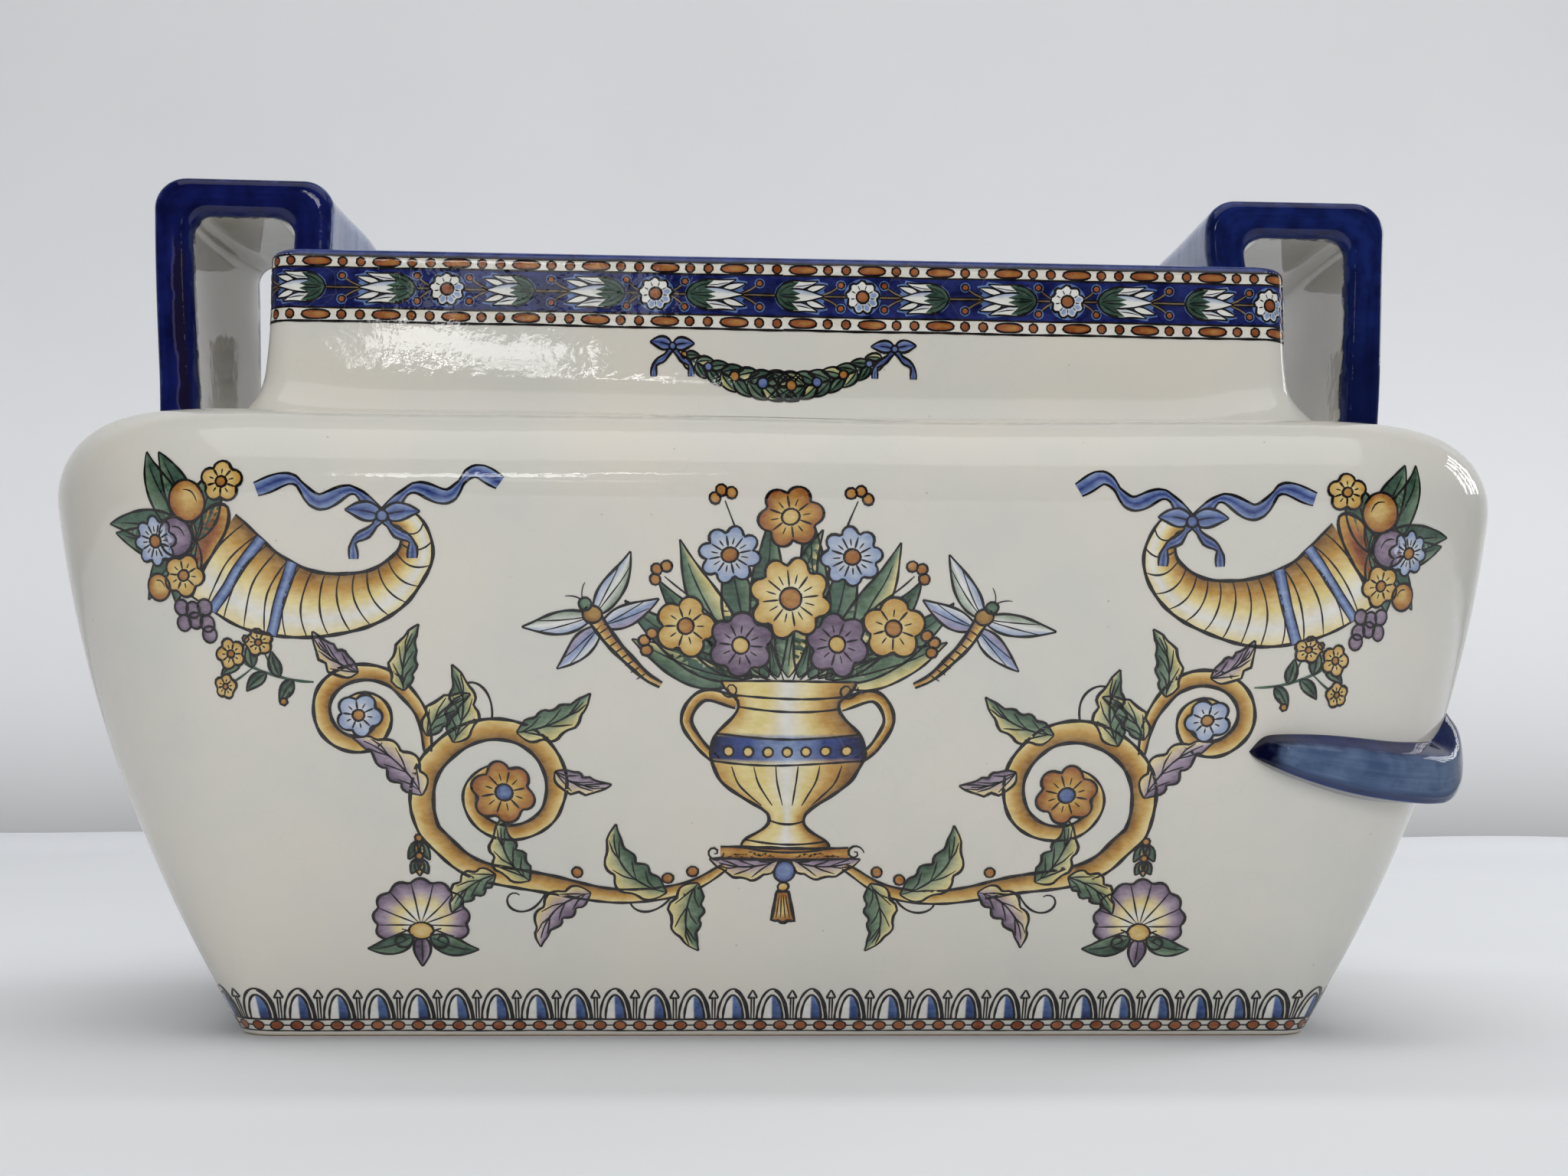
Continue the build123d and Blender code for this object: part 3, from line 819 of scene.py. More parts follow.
def dragonfly(sheet, centre=(43, 106), tilt=0.95):
    # ringed tail, two pairs of veined wings, round head
    c = np.asarray(centre, float)
    ahead = unit(tilt)
    left = np.array([-ahead[1], ahead[0]])
    foreWing, hindWing = ("sky", "white", "sage"), ("white", "sky", "lilac")
    for sign in (-1, 1):
        for start, spread, length, tints in ((3.2, 1.25, 17, foreWing), (0.4, 1.85, 14.5, hindWing)):
            base, a = c + ahead * start, tilt + sign * spread
            leaf(sheet, base, a, length, 5.0, -0.25 * sign, tints, 3, vein=False)
            for d in (-0.1, 0.08):
                stroke(sheet, bendLine(base, a + d, length * 0.8, -0.22 * sign), 0.3, level=5)
    tail = [c + ahead * 3, c - ahead * 6, c - ahead * 15 + left * 1.4, c - ahead * 19 + left * 3.2]
    band(sheet, flowing(tail), lambda u: 1.55 - 0.95 * u, ("plum", "ochre", "straw"), 5)
    for k in np.linspace(-1, -15, 8):
        p = c + ahead * k + left * (0.012 * max(0, -k - 4) ** 1.6)
        stroke(sheet, [p - left * 1.2, p + left * 1.2], 0.35, level=8)
    bead(sheet, c + ahead * 3.6, 2.2, 2.0, ("ochre", "brown"), 7)
    bead(sheet, c + ahead * 6.4, 1.5, tints=("sage", "green"), level=8)
    for sign in (-1, 1):
        stroke(sheet, bendLine(c + ahead * 7.4, tilt + sign * 0.4, 4.2, sign * 0.8), 0.3, level=6)


def scallop(sheet, centre=(86, 31), radius=13.0):
    # shell: a fan of ribs with a scalloped edge, on two small scrolls
    c = np.asarray(centre, float)
    ribs = 9
    a = np.linspace(-0.42, math.pi + 0.42, ribs * 7)
    scallops = 0.9 + 0.1 * np.abs(np.sin(np.linspace(0, ribs * math.pi, ribs * 7)))
    edge = radius * scallops * (0.86 + 0.14 * np.sin(a))
    share = np.linspace(0.1, 1, 8)
    xy = c + np.stack([np.cos(a) * edge, np.sin(a) * edge], -1)[None] * share[:, None, None]
    layGrid(sheet, xy, ramp(("straw", "white", "straw", "lilac", "plum"), share[:, None]), 3)
    stroke(sheet, xy[-1], 0.7, level=5, taper=0.1)
    for k in range(ribs + 1):
        i = min(k * 7, len(a) - 1)
        stroke(sheet, [xy[0, i], xy[3, i], xy[-1, i]], 0.42, level=5, taper=0.7)
    for sign in (-1, 1):
        stroke(sheet, spiralLine(c + (sign * 4.6, -4.2), 3.2, 0.5, math.pi / 2, 1.4 * sign), 0.7, level=6)
        leaf(sheet, c + (sign * 2, -3), -math.pi / 2 + sign * 0.9, 12, 5, sign * 0.8)
    bead(sheet, c + (0, -1.6), 2.9, 2.4, golds, 6)
    leaf(sheet, c + (0, -3), -math.pi / 2, 8.5, 4, 0.0, ("lilac", "plum", "plum"), 2)


def huskChain(sheet, start, end, count):
    # bell-shaped husks strung in a line, each smaller than the last
    for k in range(count):
        p = np.asarray(start) + (np.asarray(end) - np.asarray(start)) * k / count
        size = 5.4 - 2.0 * k / count
        for a in (-2.05, -1.57, -1.09):
            tints = ("straw", "ochre", "ochre") if a == -1.57 else greens
            leaf(sheet, p, a, size, 2.3, 0, tints, 4, vein=False)
        bead(sheet, p + (0, 0.7), 0.95, level=7)


def flowerSprig(sheet, base, angle, size=1.0, tints=golds, level=3, side=1):
    # branching sprig: a bent stem, paired leaves, three flowers and buds
    b = np.asarray(base, float)
    stem = bendLine(b, angle, 30 * size, 0.7 * side)
    stroke(sheet, stem, 0.7, "green", level=level, taper=0.4)
    for k, i in enumerate((3, 5, 7, 9, 11)):
        turn = 0.9 if k % 2 else -0.9
        a = slopeAngle(stem[i - 1], stem[i]) + turn
        leaf(sheet, stem[i], a, 9 * size, 4 * size, 0.5 * turn, level=level)
    blossom(sheet, stem[-1], 5.4 * size, 5, tints, level=level + 2, turn=angle)
    for i, turn, r in ((6, 1.1, 4.8), (9, -1.15, 4.4)):
        a = slopeAngle(stem[i - 1], stem[i]) + turn
        twig = bendLine(stem[i], a, 12 * size, -0.3 * turn)
        stroke(sheet, twig, 0.55, "green", level=level, taper=0.4)
        blossom(sheet, twig[-1], r * size, 5, tints, level=level + 2, turn=a)
    for i, turn in ((3, -1.3), (11, 1.2)):
        twig = bendLine(stem[i], slopeAngle(stem[i - 1], stem[i]) + turn, 8 * size, 0.2)
        stroke(sheet, twig, 0.45, "green", level=level)
        bead(sheet, twig[-1], 1.3 * size, level=level + 2)


def leafyFestoon(sheet, halfSpan, height, sag, size=1.0, level=2):
    # hanging garland: leaves in pairs along a sagging line, berries between, a bow at each end
    u = np.linspace(-1, 1, 40)
    path = np.stack([u * halfSpan, height - sag * (1 - u ** 2)], -1)
    stroke(sheet, path, 0.8, "green", level=level)
    run = spaced(path, 3.4 * size)
    for k in range(1, len(run) - 1):
        a = slopeAngle(run[k - 1], run[k])
        a = a if run[k, 0] < 0 else a + math.pi
        swell = 0.65 + 0.55 * (1 - (run[k, 0] / halfSpan) ** 2)
        long, wide = 5.6 * size * swell, 2.6 * size * swell
        for sign in (-1, 1):
            tints = greens if (k + sign) % 3 else warmGreens
            leaf(sheet, run[k], a + sign * 0.75, long, wide, -0.5 * sign, tints, level)
        if k % 2:
            tints = rusts if k % 4 == 1 else blueBead
            bead(sheet, run[k] + (0, 0.3), 1.15 * size * swell, tints=tints, level=level + 3)
    for sign in (-1, 1):
        bow(sheet, (sign * halfSpan, height + 0.5), 6.0 * size, level=level + 4)


def joinSheets(*sheets):
    # several drawings in one
    joined = newSheet()
    for sheet in sheets:
        for key in ("xy", "tint", "lift"):
            joined[key] += sheet[key]
        for key in ("quads", "tris"):
            joined[key] += [faces + joined["count"] for faces in sheet[key]]
        joined["count"] += sheet["count"]
    return joined


def repeatStamp(stamp, shifts, flips=None):
    # one drawing set down again at each shift, with left and right exchanged where its flip is -1
    shifts = np.asarray(shifts, float)
    flips = np.ones(len(shifts)) if flips is None else np.asarray(flips, float)
    xy = np.concatenate(stamp["xy"])
    n, m = len(xy), len(shifts)
    turned = xy[None] * np.stack([flips, np.ones(m)], -1)[:, None]
    placed = turned + np.stack([shifts, np.zeros(m)], -1)[:, None]
    sheet = newSheet()
    sheet["xy"] = [placed.reshape(-1, 2)]
    sheet["tint"] = [np.tile(np.concatenate(stamp["tint"]), (m, 1))]
    sheet["lift"] = [np.tile(np.concatenate(stamp["lift"]), m)]
    offset = (np.arange(m) * n)[:, None, None]
    for key, size in (("quads", 4), ("tris", 3)):
        if stamp[key]:
            sheet[key] = [(np.concatenate(stamp[key])[None] + offset).reshape(-1, size)]
    sheet["count"] = n * m
    return sheet


def layOnPot(name, sheet, refInset, shift, waver):
    # every drawn point, wavered by slow sines, goes to its place a hair above the pot's skin, faces outwards
    xy = np.concatenate(sheet["xy"])
    x, y = xy[:, 0], xy[:, 1]
    s = x + shift + waver * np.sin(x / 5.1 + y / 7.7) + 0.5 * waver * np.sin(y / 2.3 + x / 3.1)
    t = y + waver * np.sin(x / 6.3 - y / 4.9 + 2)
    points, normals = paintPoint(s, t, np.concatenate(sheet["lift"]), refInset)

    def facing(faces):
        # faces turned over where the cross product of two edges points against the skin's normal
        a, b, c = (points[faces[:, i]] for i in range(3))
        inwards = (np.cross(b - a, c - a) * normals[faces[:, 0]]).sum(1) < 0
        return np.where(inwards[:, None], faces[:, ::-1], faces)
    tris = facing(np.concatenate(sheet["tris"])) if sheet["tris"] else None
    piece = buildMesh(name, points, facing(np.concatenate(sheet["quads"])), tris, normals)
    tint = np.concatenate(sheet["tint"])
    tint = np.concatenate([tint, np.ones((len(tint), 1))], 1).astype(np.float32)
    piece.data.attributes.new("paintTint", "FLOAT_COLOR", "POINT").data.foreach_set("color", tint.ravel())
    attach(piece, "root")
    return piece


border = {
    "eggs": 80, "eggLow": 4.4, "eggTop": 12.3, "beadsPerRound": 156, "footInset": 45.0, "eggShift": -2.0,
    "eggHalf": 2.45, "archHalf": 3.75,
}


def eggBorder():
    # pointed eggs half white, half blue, a dart between each pair, a bead string under them
    low, high = heightLength(border["eggLow"]), heightLength(border["eggTop"])
    tall = high - low
    length = planLength(border["footInset"])
    pitch = length / border["eggs"]
    stamp = newSheet()

    def arch(halfWidth, top, count=26):
        # barely pointed arch: half width times the cosine of an angle, height times its sine, each to a power
        a = np.linspace(0, math.pi / 2, count // 2)
        right = np.stack([halfWidth * np.cos(a) ** 1.12, low + top * np.sin(a) ** 0.96], -1)
        return np.concatenate([right * (-1, 1), right[::-1][1:]])
    egg = arch(border["eggHalf"], tall * 0.8)
    base = levelLine(egg[:, 0], low)
    share = np.linspace(0, 1, 5)
    grid = base[None] + (egg - base)[None] * share[:, None, None]
    blue = smooth(-0.35, 0.05, egg[None, :, :1])
    shaded = ramp(("navy", "slate", "slate", "steel"), share[:, None])
    layGrid(stamp, grid, shaded * blue + paint["white"] * (1 - blue), 1)
    rim = arch(border["archHalf"], tall)
    stroke(stamp, egg, 0.6, level=3, taper=0.0, step=0.6)
    stroke(stamp, rim, 0.6, level=3, taper=0.0, step=0.6)
    stroke(stamp, rim[14:] + (-0.42, -0.2), 0.5, level=3, taper=0.3, step=0.7)
    at, neck, point = pitch / 2, low + tall * 0.7, low + tall * 0.97
    for d in (-0.34, 0.34):  # shaft of the dart, then its head
        shaft = [(at + d, low), (at + d, low + tall * 0.74)]
        stroke(stamp, shaft, 0.42, level=3, taper=0.1, step=1.5)
    head = [(at - 1.15, neck), (at, point), (at + 1.15, neck), (at - 1.15, neck)]
    stroke(stamp, head, 0.5, level=3, taper=0.0, step=0.5)
    eggs = repeatStamp(stamp, np.arange(border["eggs"]) * pitch + border["eggShift"])
    beadStamp, lines, beadLine = newSheet(), newSheet(), low * 0.52
    beadPitch = length / border["beadsPerRound"]
    bead(beadStamp, (0, beadLine), 1.6, 1.36, ("ochre", "rust", "rust"), 3, weight=0.45, count=12)
    beads = repeatStamp(beadStamp, np.arange(border["beadsPerRound"]) * beadPitch)
    around = np.linspace(0, length, 620)
    for y, w in ((low, 0.6), (beadLine, 0.4), (0.3, 0.4)):
        stroke(lines, levelLine(around, y), w, level=2, taper=0.0, step=1.2)
    return joinSheets(eggs, beads, lines)


frieze = {
    "daisies": 14, "firstDaisy": 20.1, "reels": 42, "alikeBay": 11,
    "lipLow": 192.9, "rowOneLow": 189.8, "blueLow": 179.1, "rowTwoLow": 175.7,
}


def daisyStamp(middle):
    # white petals shaded blue round a rust heart
    stamp, c = newSheet(), np.array([0, middle])
    blob(stamp, roundOutline(c, 4.75, count=28), halo, 1, outlined=False)
    for x in (-1, 1):
        band(stamp, np.linspace((4.0 * x, middle), (8.0 * x, middle), 8), 0.34, stems, 1, weight=0.4)
    blossom(stamp, c, 4.4, 9, ("white", "white"), ("rust", "rust", "brown"), 3, 0.2, 0.26, False, 0.38)
    for k in range(9):
        a = 0.2 + k * 2 * math.pi / 9
        d, e = unit(a), unit(a + math.pi / 9)
        if math.sin(a - 0.5) < -0.1:  # shaded petals on the lower side
            petal = roundOutline(c + d * 2.85, 1.25, 0.95, 12, a)
            blob(stamp, petal, ("steel", "sky", "white"), 5, outlined=False)
        stroke(stamp, [c + e * 2.0, c + e * 3.1], 0.3, level=6, step=0.5)
    return stamp


def berryTwig(sheet, start, end, level=3):
    # thin twig with dark edges, bent outwards, and a round berry on its end with a pale ring about it
    start, end = np.asarray(start, float), np.asarray(end, float)
    bent = (start + end) / 2 + (0, 0.12 * (start - end)[1])
    twig = flowing([start, bent, end])
    stroke(sheet, twig, 0.8, level=level, taper=0.3)
    stroke(sheet, twig, 0.34, "twig", level=level + 1, taper=0.3)
    blob(sheet, roundOutline(end, 1.34, count=12), halo, level, outlined=False)
    bead(sheet, end, 0.95, tints=("brown", "rust", "rust"), level=level + 2, count=12, weight=0.42)


def lotusStamp(middle, along, size, stem):
    # bud lying on its side: two small and three long petals, half width as a sine of the share along each,
    # then a green cup with tongues over their feet, a stem from the tip and a berry twig each side of it
    stamp = newSheet()
    base, scale = np.array([along, middle]), np.array([size, 1.0])

    def petal(points, wide, tints, level):
        # pointed strip with its widest place a third of the way along
        line = flowing(np.array(points)) * scale + base
        band(stamp, line, lambda u: wide * np.sin(math.pi * u ** 0.72) + 0.04, tints, level, weight=0.46)

    def bothSides(half):
        # line through one half and back through its mirror image
        half = np.array(half, float)
        return np.concatenate([half, half[::-1][1:] * (1, -1)]) * scale + base
    ring = [
        (-0.5, 0), (0.2, 1.9), (1.8, 3.3), (4.4, 4.1), (9.0, 4.15), (13.2, 4.75), (13.4, 3.9), (16.0, 3.5),
        (14.4, 1.7), (15.8, 0),
    ]
    blob(stamp, spaced(bothSides(ring), 0.5)[:-1], halo, 1, outlined=False, centre=base + (6 * size, 0))
    tip = base + (14.7 * size, 0)
    band(stamp, np.linspace(tip - (1.5, 0), tip + (stem, 0), 8), 0.34, stems, 2, weight=0.4)
    for sign in (-1, 1):
        berryTwig(stamp, tip + (-0.6, 0.3 * sign), tip + (4.2, 3.1 * sign))
        if size > 0.9:  # the bud beside a daisy has two more twigs behind its cup
            berryTwig(stamp, base + (-3.5, 0.7 * sign), base + (-0.3, 3.4 * sign))
    for sign in (-1, 1):
        petal([(9.2, 1.3 * sign), (12.2, 2.2 * sign), (15.4, 3.0 * sign)], 0.85, ("white", "white"), 5)
    shade = ("sky", "white", "white", "white")
    for sign in (-1, 1):
        side = np.array([1, sign])
        long = np.array([(0.6, 1.0), (4.2, 2.5), (8.6, 2.9), (12.9, 4.0)]) * side
        petal(long, 1.35, shade[::sign], 7)
        crease = np.array([(6.0, 2.5), (8.4, 2.7), (10.8, 3.2)]) * side
        stroke(stamp, crease * scale + base, 0.26, level=9)
    petal([(1.0, 0), (7, 0.15), (14.8, 0)], 1.75, ("white", "white", "sky"), 10)
    cup = [
        (0, 0), (0.6, 1.6), (2.0, 2.9), (4.4, 3.7), (7.2, 3.75), (5.4, 2.7), (4.6, 1.75), (6.0, 1.2),
        (7.8, 0.6), (5.8, 0.1),
    ]
    cup = spaced(bothSides(cup), 0.5)[:-1]
    blob(stamp, cup, ("pine", "pine", "green"), 12, outlined=False, centre=base + (2.8 * size, 0))
    foot = bothSides([(5.4, 3.72), (4.4, 3.7), (2.0, 2.9), (0.6, 1.6), (0, 0)])
    stroke(stamp, foot, 0.5, level=13, taper=0.3)
    for reach, up in ((6.2, 3.1), (6.6, 0.5), (6.6, -0.5), (6.2, -3.1)):  # lines from the foot to the tongues
        line = np.array([(1.2, 0.2 * up), (3.2, 0.68 * up), (reach, up)])
        stroke(stamp, flowing(line * scale + base), 0.3, level=13)
    return stamp


def rimBorder():
    # blue frieze between two rows of reels and beads, blue lip above
    g = frieze
    length = planLength(pot["neckInset"])
    up = {key: heightLength(g[key]) for key in ("lipLow", "rowOneLow", "blueLow", "rowTwoLow")}
    around = np.linspace(0, length, 560)
    ground = newSheet()

    def belt(low, high, rows, names, level):
        # plain band right round the neck
        v = np.linspace(low, high, rows)
        xy = np.stack(np.broadcast_arrays(around[None, :-1], v[:, None]), -1)
        layGrid(ground, xy, ramp(names, np.linspace(0, 1, rows)[:, None]), level, closed=True)
    belt(up["blueLow"], up["rowOneLow"], 7, ("royal", "navy", "royal"), 0)
    belt(up["lipLow"], outerLength[-1] - 2.2, 9, ("royal", "cobalt", "cobalt", "royal"), 1)
    belt(up["rowOneLow"], up["lipLow"], 3, ("cream", "white"), 0)
    belt(up["rowTwoLow"], up["blueLow"], 3, ("white", "cream"), 0)
    for key, w in (("lipLow", 0.55), ("rowOneLow", 0.5), ("blueLow", 0.5), ("rowTwoLow", 0.6)):
        stroke(ground, levelLine(around, up[key]), w, level=3, taper=0.0, step=1.2)
    rows = newSheet()
    for low, high in ((up["rowOneLow"], up["lipLow"]), (up["rowTwoLow"], up["blueLow"])):
        middle = (low + high) / 2
        reel = roundOutline((0, middle), 3.6, 1.15, 22)
        reel[:, 0] = np.sign(reel[:, 0]) * np.abs(reel[:, 0] / 3.6) ** 0.7 * 3.6
        blob(rows, reel, ("ochre", "rust", "rust"), 2, centre=(1.3, middle), weight=0.5)
        for x in (6.3, 10.9):
            bead(rows, (x, middle), 1.2, tints=("rust", "rust", "brown"), level=2, count=12, weight=0.46)
    reels = repeatStamp(rows, np.arange(g["reels"]) * length / g["reels"] + 5)
    middle = (up["blueLow"] + up["rowOneLow"]) / 2
    pitch = length / g["daisies"]
    at = g["firstDaisy"] + np.arange(g["daisies"]) * pitch
    daisies = repeatStamp(daisyStamp(middle), at)
    bays = np.arange(g["daisies"])
    facing = np.where((bays % 2 == 0) | (bays == g["alikeBay"]), -1.0, 1.0)
    buds = []
    # buds look one way in one bay and the other way in the next, but for two bays alike where the print met
    for along, size, stem in ((7.7, 0.98, 8.6), (30.4, 0.84, 6.0)):
        stamp = lotusStamp(middle, along - pitch / 2, size, stem)
        buds.append(repeatStamp(stamp, at + pitch / 2, facing))
    return joinSheets(ground, reels, daisies, *buds)


# materials: helpers for node trees, two shared groups, then the glazes
def addNode(tree, kind, **values):
    # new node with its settings: the name of an input sets that input, any other name a property
    n = tree.nodes.new(kind)
    for key, value in values.items():
        if key in n.inputs:
            n.inputs[key].default_value = value
        else:
            setattr(n, key, value)
    return n


def rangeOf(tree, value, low, high, toLow=0.0, toHigh=1.0):
    # smooth step of a value from one range to another
    n = addNode(tree, "ShaderNodeMapRange", interpolation_type="SMOOTHSTEP")
    for key, v in (("From Min", low), ("From Max", high), ("To Min", toLow), ("To Max", toHigh)):
        n.inputs[key].default_value = v
    tree.links.new(value, n.inputs["Value"])
    return n.outputs["Result"]


def mathOf(tree, kind, a, b):
    # one operation on two sockets or numbers
    n = addNode(tree, "ShaderNodeMath", operation=kind)
    for i, v in enumerate((a, b)):
        if isinstance(v, bpy.types.NodeSocket):
            tree.links.new(v, n.inputs[i])
        else:
            n.inputs[i].default_value = v
    return n.outputs[0]


def plus(tree, a, b):
    # sum of two sockets or numbers
    return mathOf(tree, "ADD", a, b)


def times(tree, first, *others):
    # product of sockets or numbers
    for other in others:
        first = mathOf(tree, "MULTIPLY", first, other)
    return first


def weighted(tree, a, shareA, b, shareB):
    # sum of two values, each times its share
    return plus(tree, times(tree, a, shareA), times(tree, b, shareB))


def mixColour(tree, factor, a, b):
    # colour a to colour b by a factor; each may be a fixed value or a socket
    n = addNode(tree, "ShaderNodeMix", data_type="RGBA")
    for socket, value in ((n.inputs[0], factor), (n.inputs[6], a), (n.inputs[7], b)):
        if isinstance(value, bpy.types.NodeSocket):
            tree.links.new(value, socket)
        else:
            socket.default_value = value if np.isscalar(value) else (*value, 1)
    return n.outputs[2]


def glazeGroup():
    # mottling, specks, crackle, gloss and a soft dimpled surface, shared by all the glazed pieces: smooth
    # steps of noises and of the distances in two cell patterns
    tree = bpy.data.node_groups.new("glazeSkin", "ShaderNodeTree")
    for name in ("Mottle", "Speck", "Crackle", "Gloss", "Height"):
        tree.interface.new_socket(name, in_out="OUTPUT", socket_type="NodeSocketFloat")
    out = tree.nodes.new("NodeGroupOutput")
    where = tree.nodes.new("ShaderNodeTexCoord").outputs["Object"]
    link = tree.links.new

    def noise(scale, detail, rough=0.5, kind="Fac"):
        # fractal noise at the point, as a number or as a colour
        n = addNode(tree, "ShaderNodeTexNoise", Scale=scale, Detail=detail, Roughness=rough)
        link(where, n.inputs["Vector"])
        return n.outputs[kind]
    link(rangeOf(tree, noise(22, 4, 0.6), 0.3, 0.7), out.inputs["Mottle"])
    cells = addNode(tree, "ShaderNodeTexVoronoi", Scale=190.0)
    link(where, cells.inputs["Vector"])
    pick = tree.nodes.new("ShaderNodeSeparateColor")
    link(cells.outputs["Color"], pick.inputs[0])
    small = rangeOf(tree, cells.outputs["Distance"], 0.0, 0.075, 1.0, 0.0)
    link(times(tree, small, rangeOf(tree, pick.outputs[0], 0.78, 0.83)), out.inputs["Speck"])
    shifted = addNode(tree, "ShaderNodeMixRGB", blend_type="ADD", Fac=0.012)  # the cracks wander a little
    link(where, shifted.inputs[1])
    link(noise(60, 2, kind="Color"), shifted.inputs[2])
    cracks = addNode(tree, "ShaderNodeTexVoronoi", feature="DISTANCE_TO_EDGE", Scale=110.0)
    link(shifted.outputs[0], cracks.inputs["Vector"])
    thin = rangeOf(tree, cracks.outputs["Distance"], 0.0, 0.02, 1.0, 0.0)
    link(times(tree, thin, rangeOf(tree, noise(14, 2), 0.42, 0.62)), out.inputs["Crackle"])
    link(rangeOf(tree, noise(45, 3), 0.25, 0.75, 0.02, 0.07), out.inputs["Gloss"])
    link(weighted(tree, noise(38, 1), 0.4, noise(240, 3), 0.17), out.inputs["Height"])
    return tree


def brushGroup():
    # streaks of a loaded brush, long thin noise along the given place, and soft pools: smooth steps of noises
    tree = bpy.data.node_groups.new("brushWash", "ShaderNodeTree")
    tree.interface.new_socket("Place", in_out="INPUT", socket_type="NodeSocketVector")
    put, out = tree.nodes.new("NodeGroupInput"), tree.nodes.new("NodeGroupOutput")
    where = tree.nodes.new("ShaderNodeTexCoord").outputs["Object"]
    for name, source, scale, detail, rough, low, high in (
        ("Streak", put.outputs["Place"], 1.0, 5.0, 0.62, 0.34, 0.66),
        ("Pool", where, 160.0, 3.0, 0.55, 0.32, 0.68),
    ):
        tree.interface.new_socket(name, in_out="OUTPUT", socket_type="NodeSocketFloat")
        n = addNode(tree, "ShaderNodeTexNoise", Scale=scale, Detail=detail, Roughness=rough)
        tree.links.new(source, n.inputs["Vector"])
        tree.links.new(rangeOf(tree, n.outputs["Fac"], low, high), out.inputs[name])
    return tree


glazeSkin, brushWash = glazeGroup(), brushGroup()
glazeSurface = {"index": 1.56, "bump": 0.4, "bumpHeight": 0.001}


def newMaterial(name):
    # glossy fired glaze; its colour is linked by the caller
    mat = bpy.data.materials.new(name)
    mat.use_nodes = True
    tree = mat.node_tree
    shader = tree.nodes["Principled BSDF"]
    shader.inputs["IOR"].default_value = glazeSurface["index"]
    glaze = tree.nodes.new("ShaderNodeGroup")
    glaze.node_tree = glazeSkin
    bump = addNode(tree, "ShaderNodeBump", Strength=glazeSurface["bump"], Distance=glazeSurface["bumpHeight"])
    tree.links.new(glaze.outputs["Height"], bump.inputs["Height"])
    tree.links.new(bump.outputs["Normal"], shader.inputs["Normal"])
    tree.links.new(glaze.outputs["Gloss"], shader.inputs["Roughness"])
    return mat, tree, shader, glaze


def washNode(tree, place, scale):
    # the brush wash at a place times a scale
    stretch = addNode(tree, "ShaderNodeMapping", Scale=scale)
    tree.links.new(place, stretch.inputs["Vector"])
    wash = tree.nodes.new("ShaderNodeGroup")
    wash.node_tree = brushWash
    tree.links.new(stretch.outputs["Vector"], wash.inputs["Place"])
    return wash.outputs["Pool"], wash.outputs["Streak"]


creamGlaze = {
    "warm": srgb(216, 211, 200), "cool": srgb(208, 207, 199), "speck": srgb(122, 100, 80),
    "crackle": srgb(176, 166, 148), "clay": srgb(196, 172, 140),
    "crackleShare": 0.06, "speckShare": 0.6, "clayDull": 0.7,
}


def bodyMaterial():
    # cream mixed by mottle, crackle and specks, then bare dull clay by a smooth step of the clay value
    g = creamGlaze
    mat, tree, shader, glaze = newMaterial("creamGlaze")
    clay = addNode(tree, "ShaderNodeAttribute", attribute_name="clay")
    base = mixColour(tree, glaze.outputs["Mottle"], g["warm"], g["cool"])
    base = mixColour(tree, times(tree, glaze.outputs["Crackle"], g["crackleShare"]), base, g["crackle"])
    base = mixColour(tree, times(tree, glaze.outputs["Speck"], g["speckShare"]), base, g["speck"])
    bare = rangeOf(tree, clay.outputs["Fac"], 0.45, 0.75)
    tree.links.new(mixColour(tree, bare, base, g["clay"]), shader.inputs["Base Color"])
    dull = plus(tree, glaze.outputs["Gloss"], times(tree, bare, g["clayDull"]))
    tree.links.new(dull, shader.inputs["Roughness"])
    return mat


paintCoat = {
    "thin": 0.74, "deep": 1.24, "pool": 0.6, "streak": 0.4, "crackle": 0.08, "brush": (420, 420, 900),
}


def paintMaterial():
    # painted colour raised to a power below one where the coat is thin and above one where it pools
    g = paintCoat
    mat, tree, shader, glaze = newMaterial("paintedGlaze")
    tint = addNode(tree, "ShaderNodeAttribute", attribute_name="paintTint")
    pool, streak = washNode(tree, tree.nodes.new("ShaderNodeTexCoord").outputs["Object"], g["brush"])
    coats = [addNode(tree, "ShaderNodeGamma", Gamma=power) for power in (g["thin"], g["deep"])]
    for coat in coats:
        tree.links.new(tint.outputs["Color"], coat.inputs["Color"])
    load = weighted(tree, pool, g["pool"], streak, g["streak"])
    body = mixColour(tree, load, *(coat.outputs["Color"] for coat in coats))
    body = mixColour(tree, times(tree, glaze.outputs["Crackle"], g["crackle"]), body, creamGlaze["crackle"])
    tree.links.new(body, shader.inputs["Base Color"])
    return mat


# the paler line beside the dark streak on the left handle is a painted reflection
cobaltGlaze = {
    "deep": srgb(4, 5, 38), "rim": srgb(23, 34, 102), "rimRight": srgb(28, 47, 116),
    "face": srgb(96, 116, 168), "pale": srgb(132, 150, 196), "run": srgb(24, 18, 40),
    "streakReflection": srgb(92, 84, 120), "shine": 0.34, "brush": (3.4, 7, 0.045), "wobble": 0.08,
}
cobaltEnd = {
    "deep": srgb(4, 5, 38), "face": srgb(64, 82, 114), "pale": srgb(96, 114, 144), "low": srgb(30, 46, 104),
    "edge": srgb(13, 18, 56), "fold": srgb(36, 44, 76), "shine": 0.3, "brush": (13, 0.05, 0.4),
    "wobble": 0.08,
}


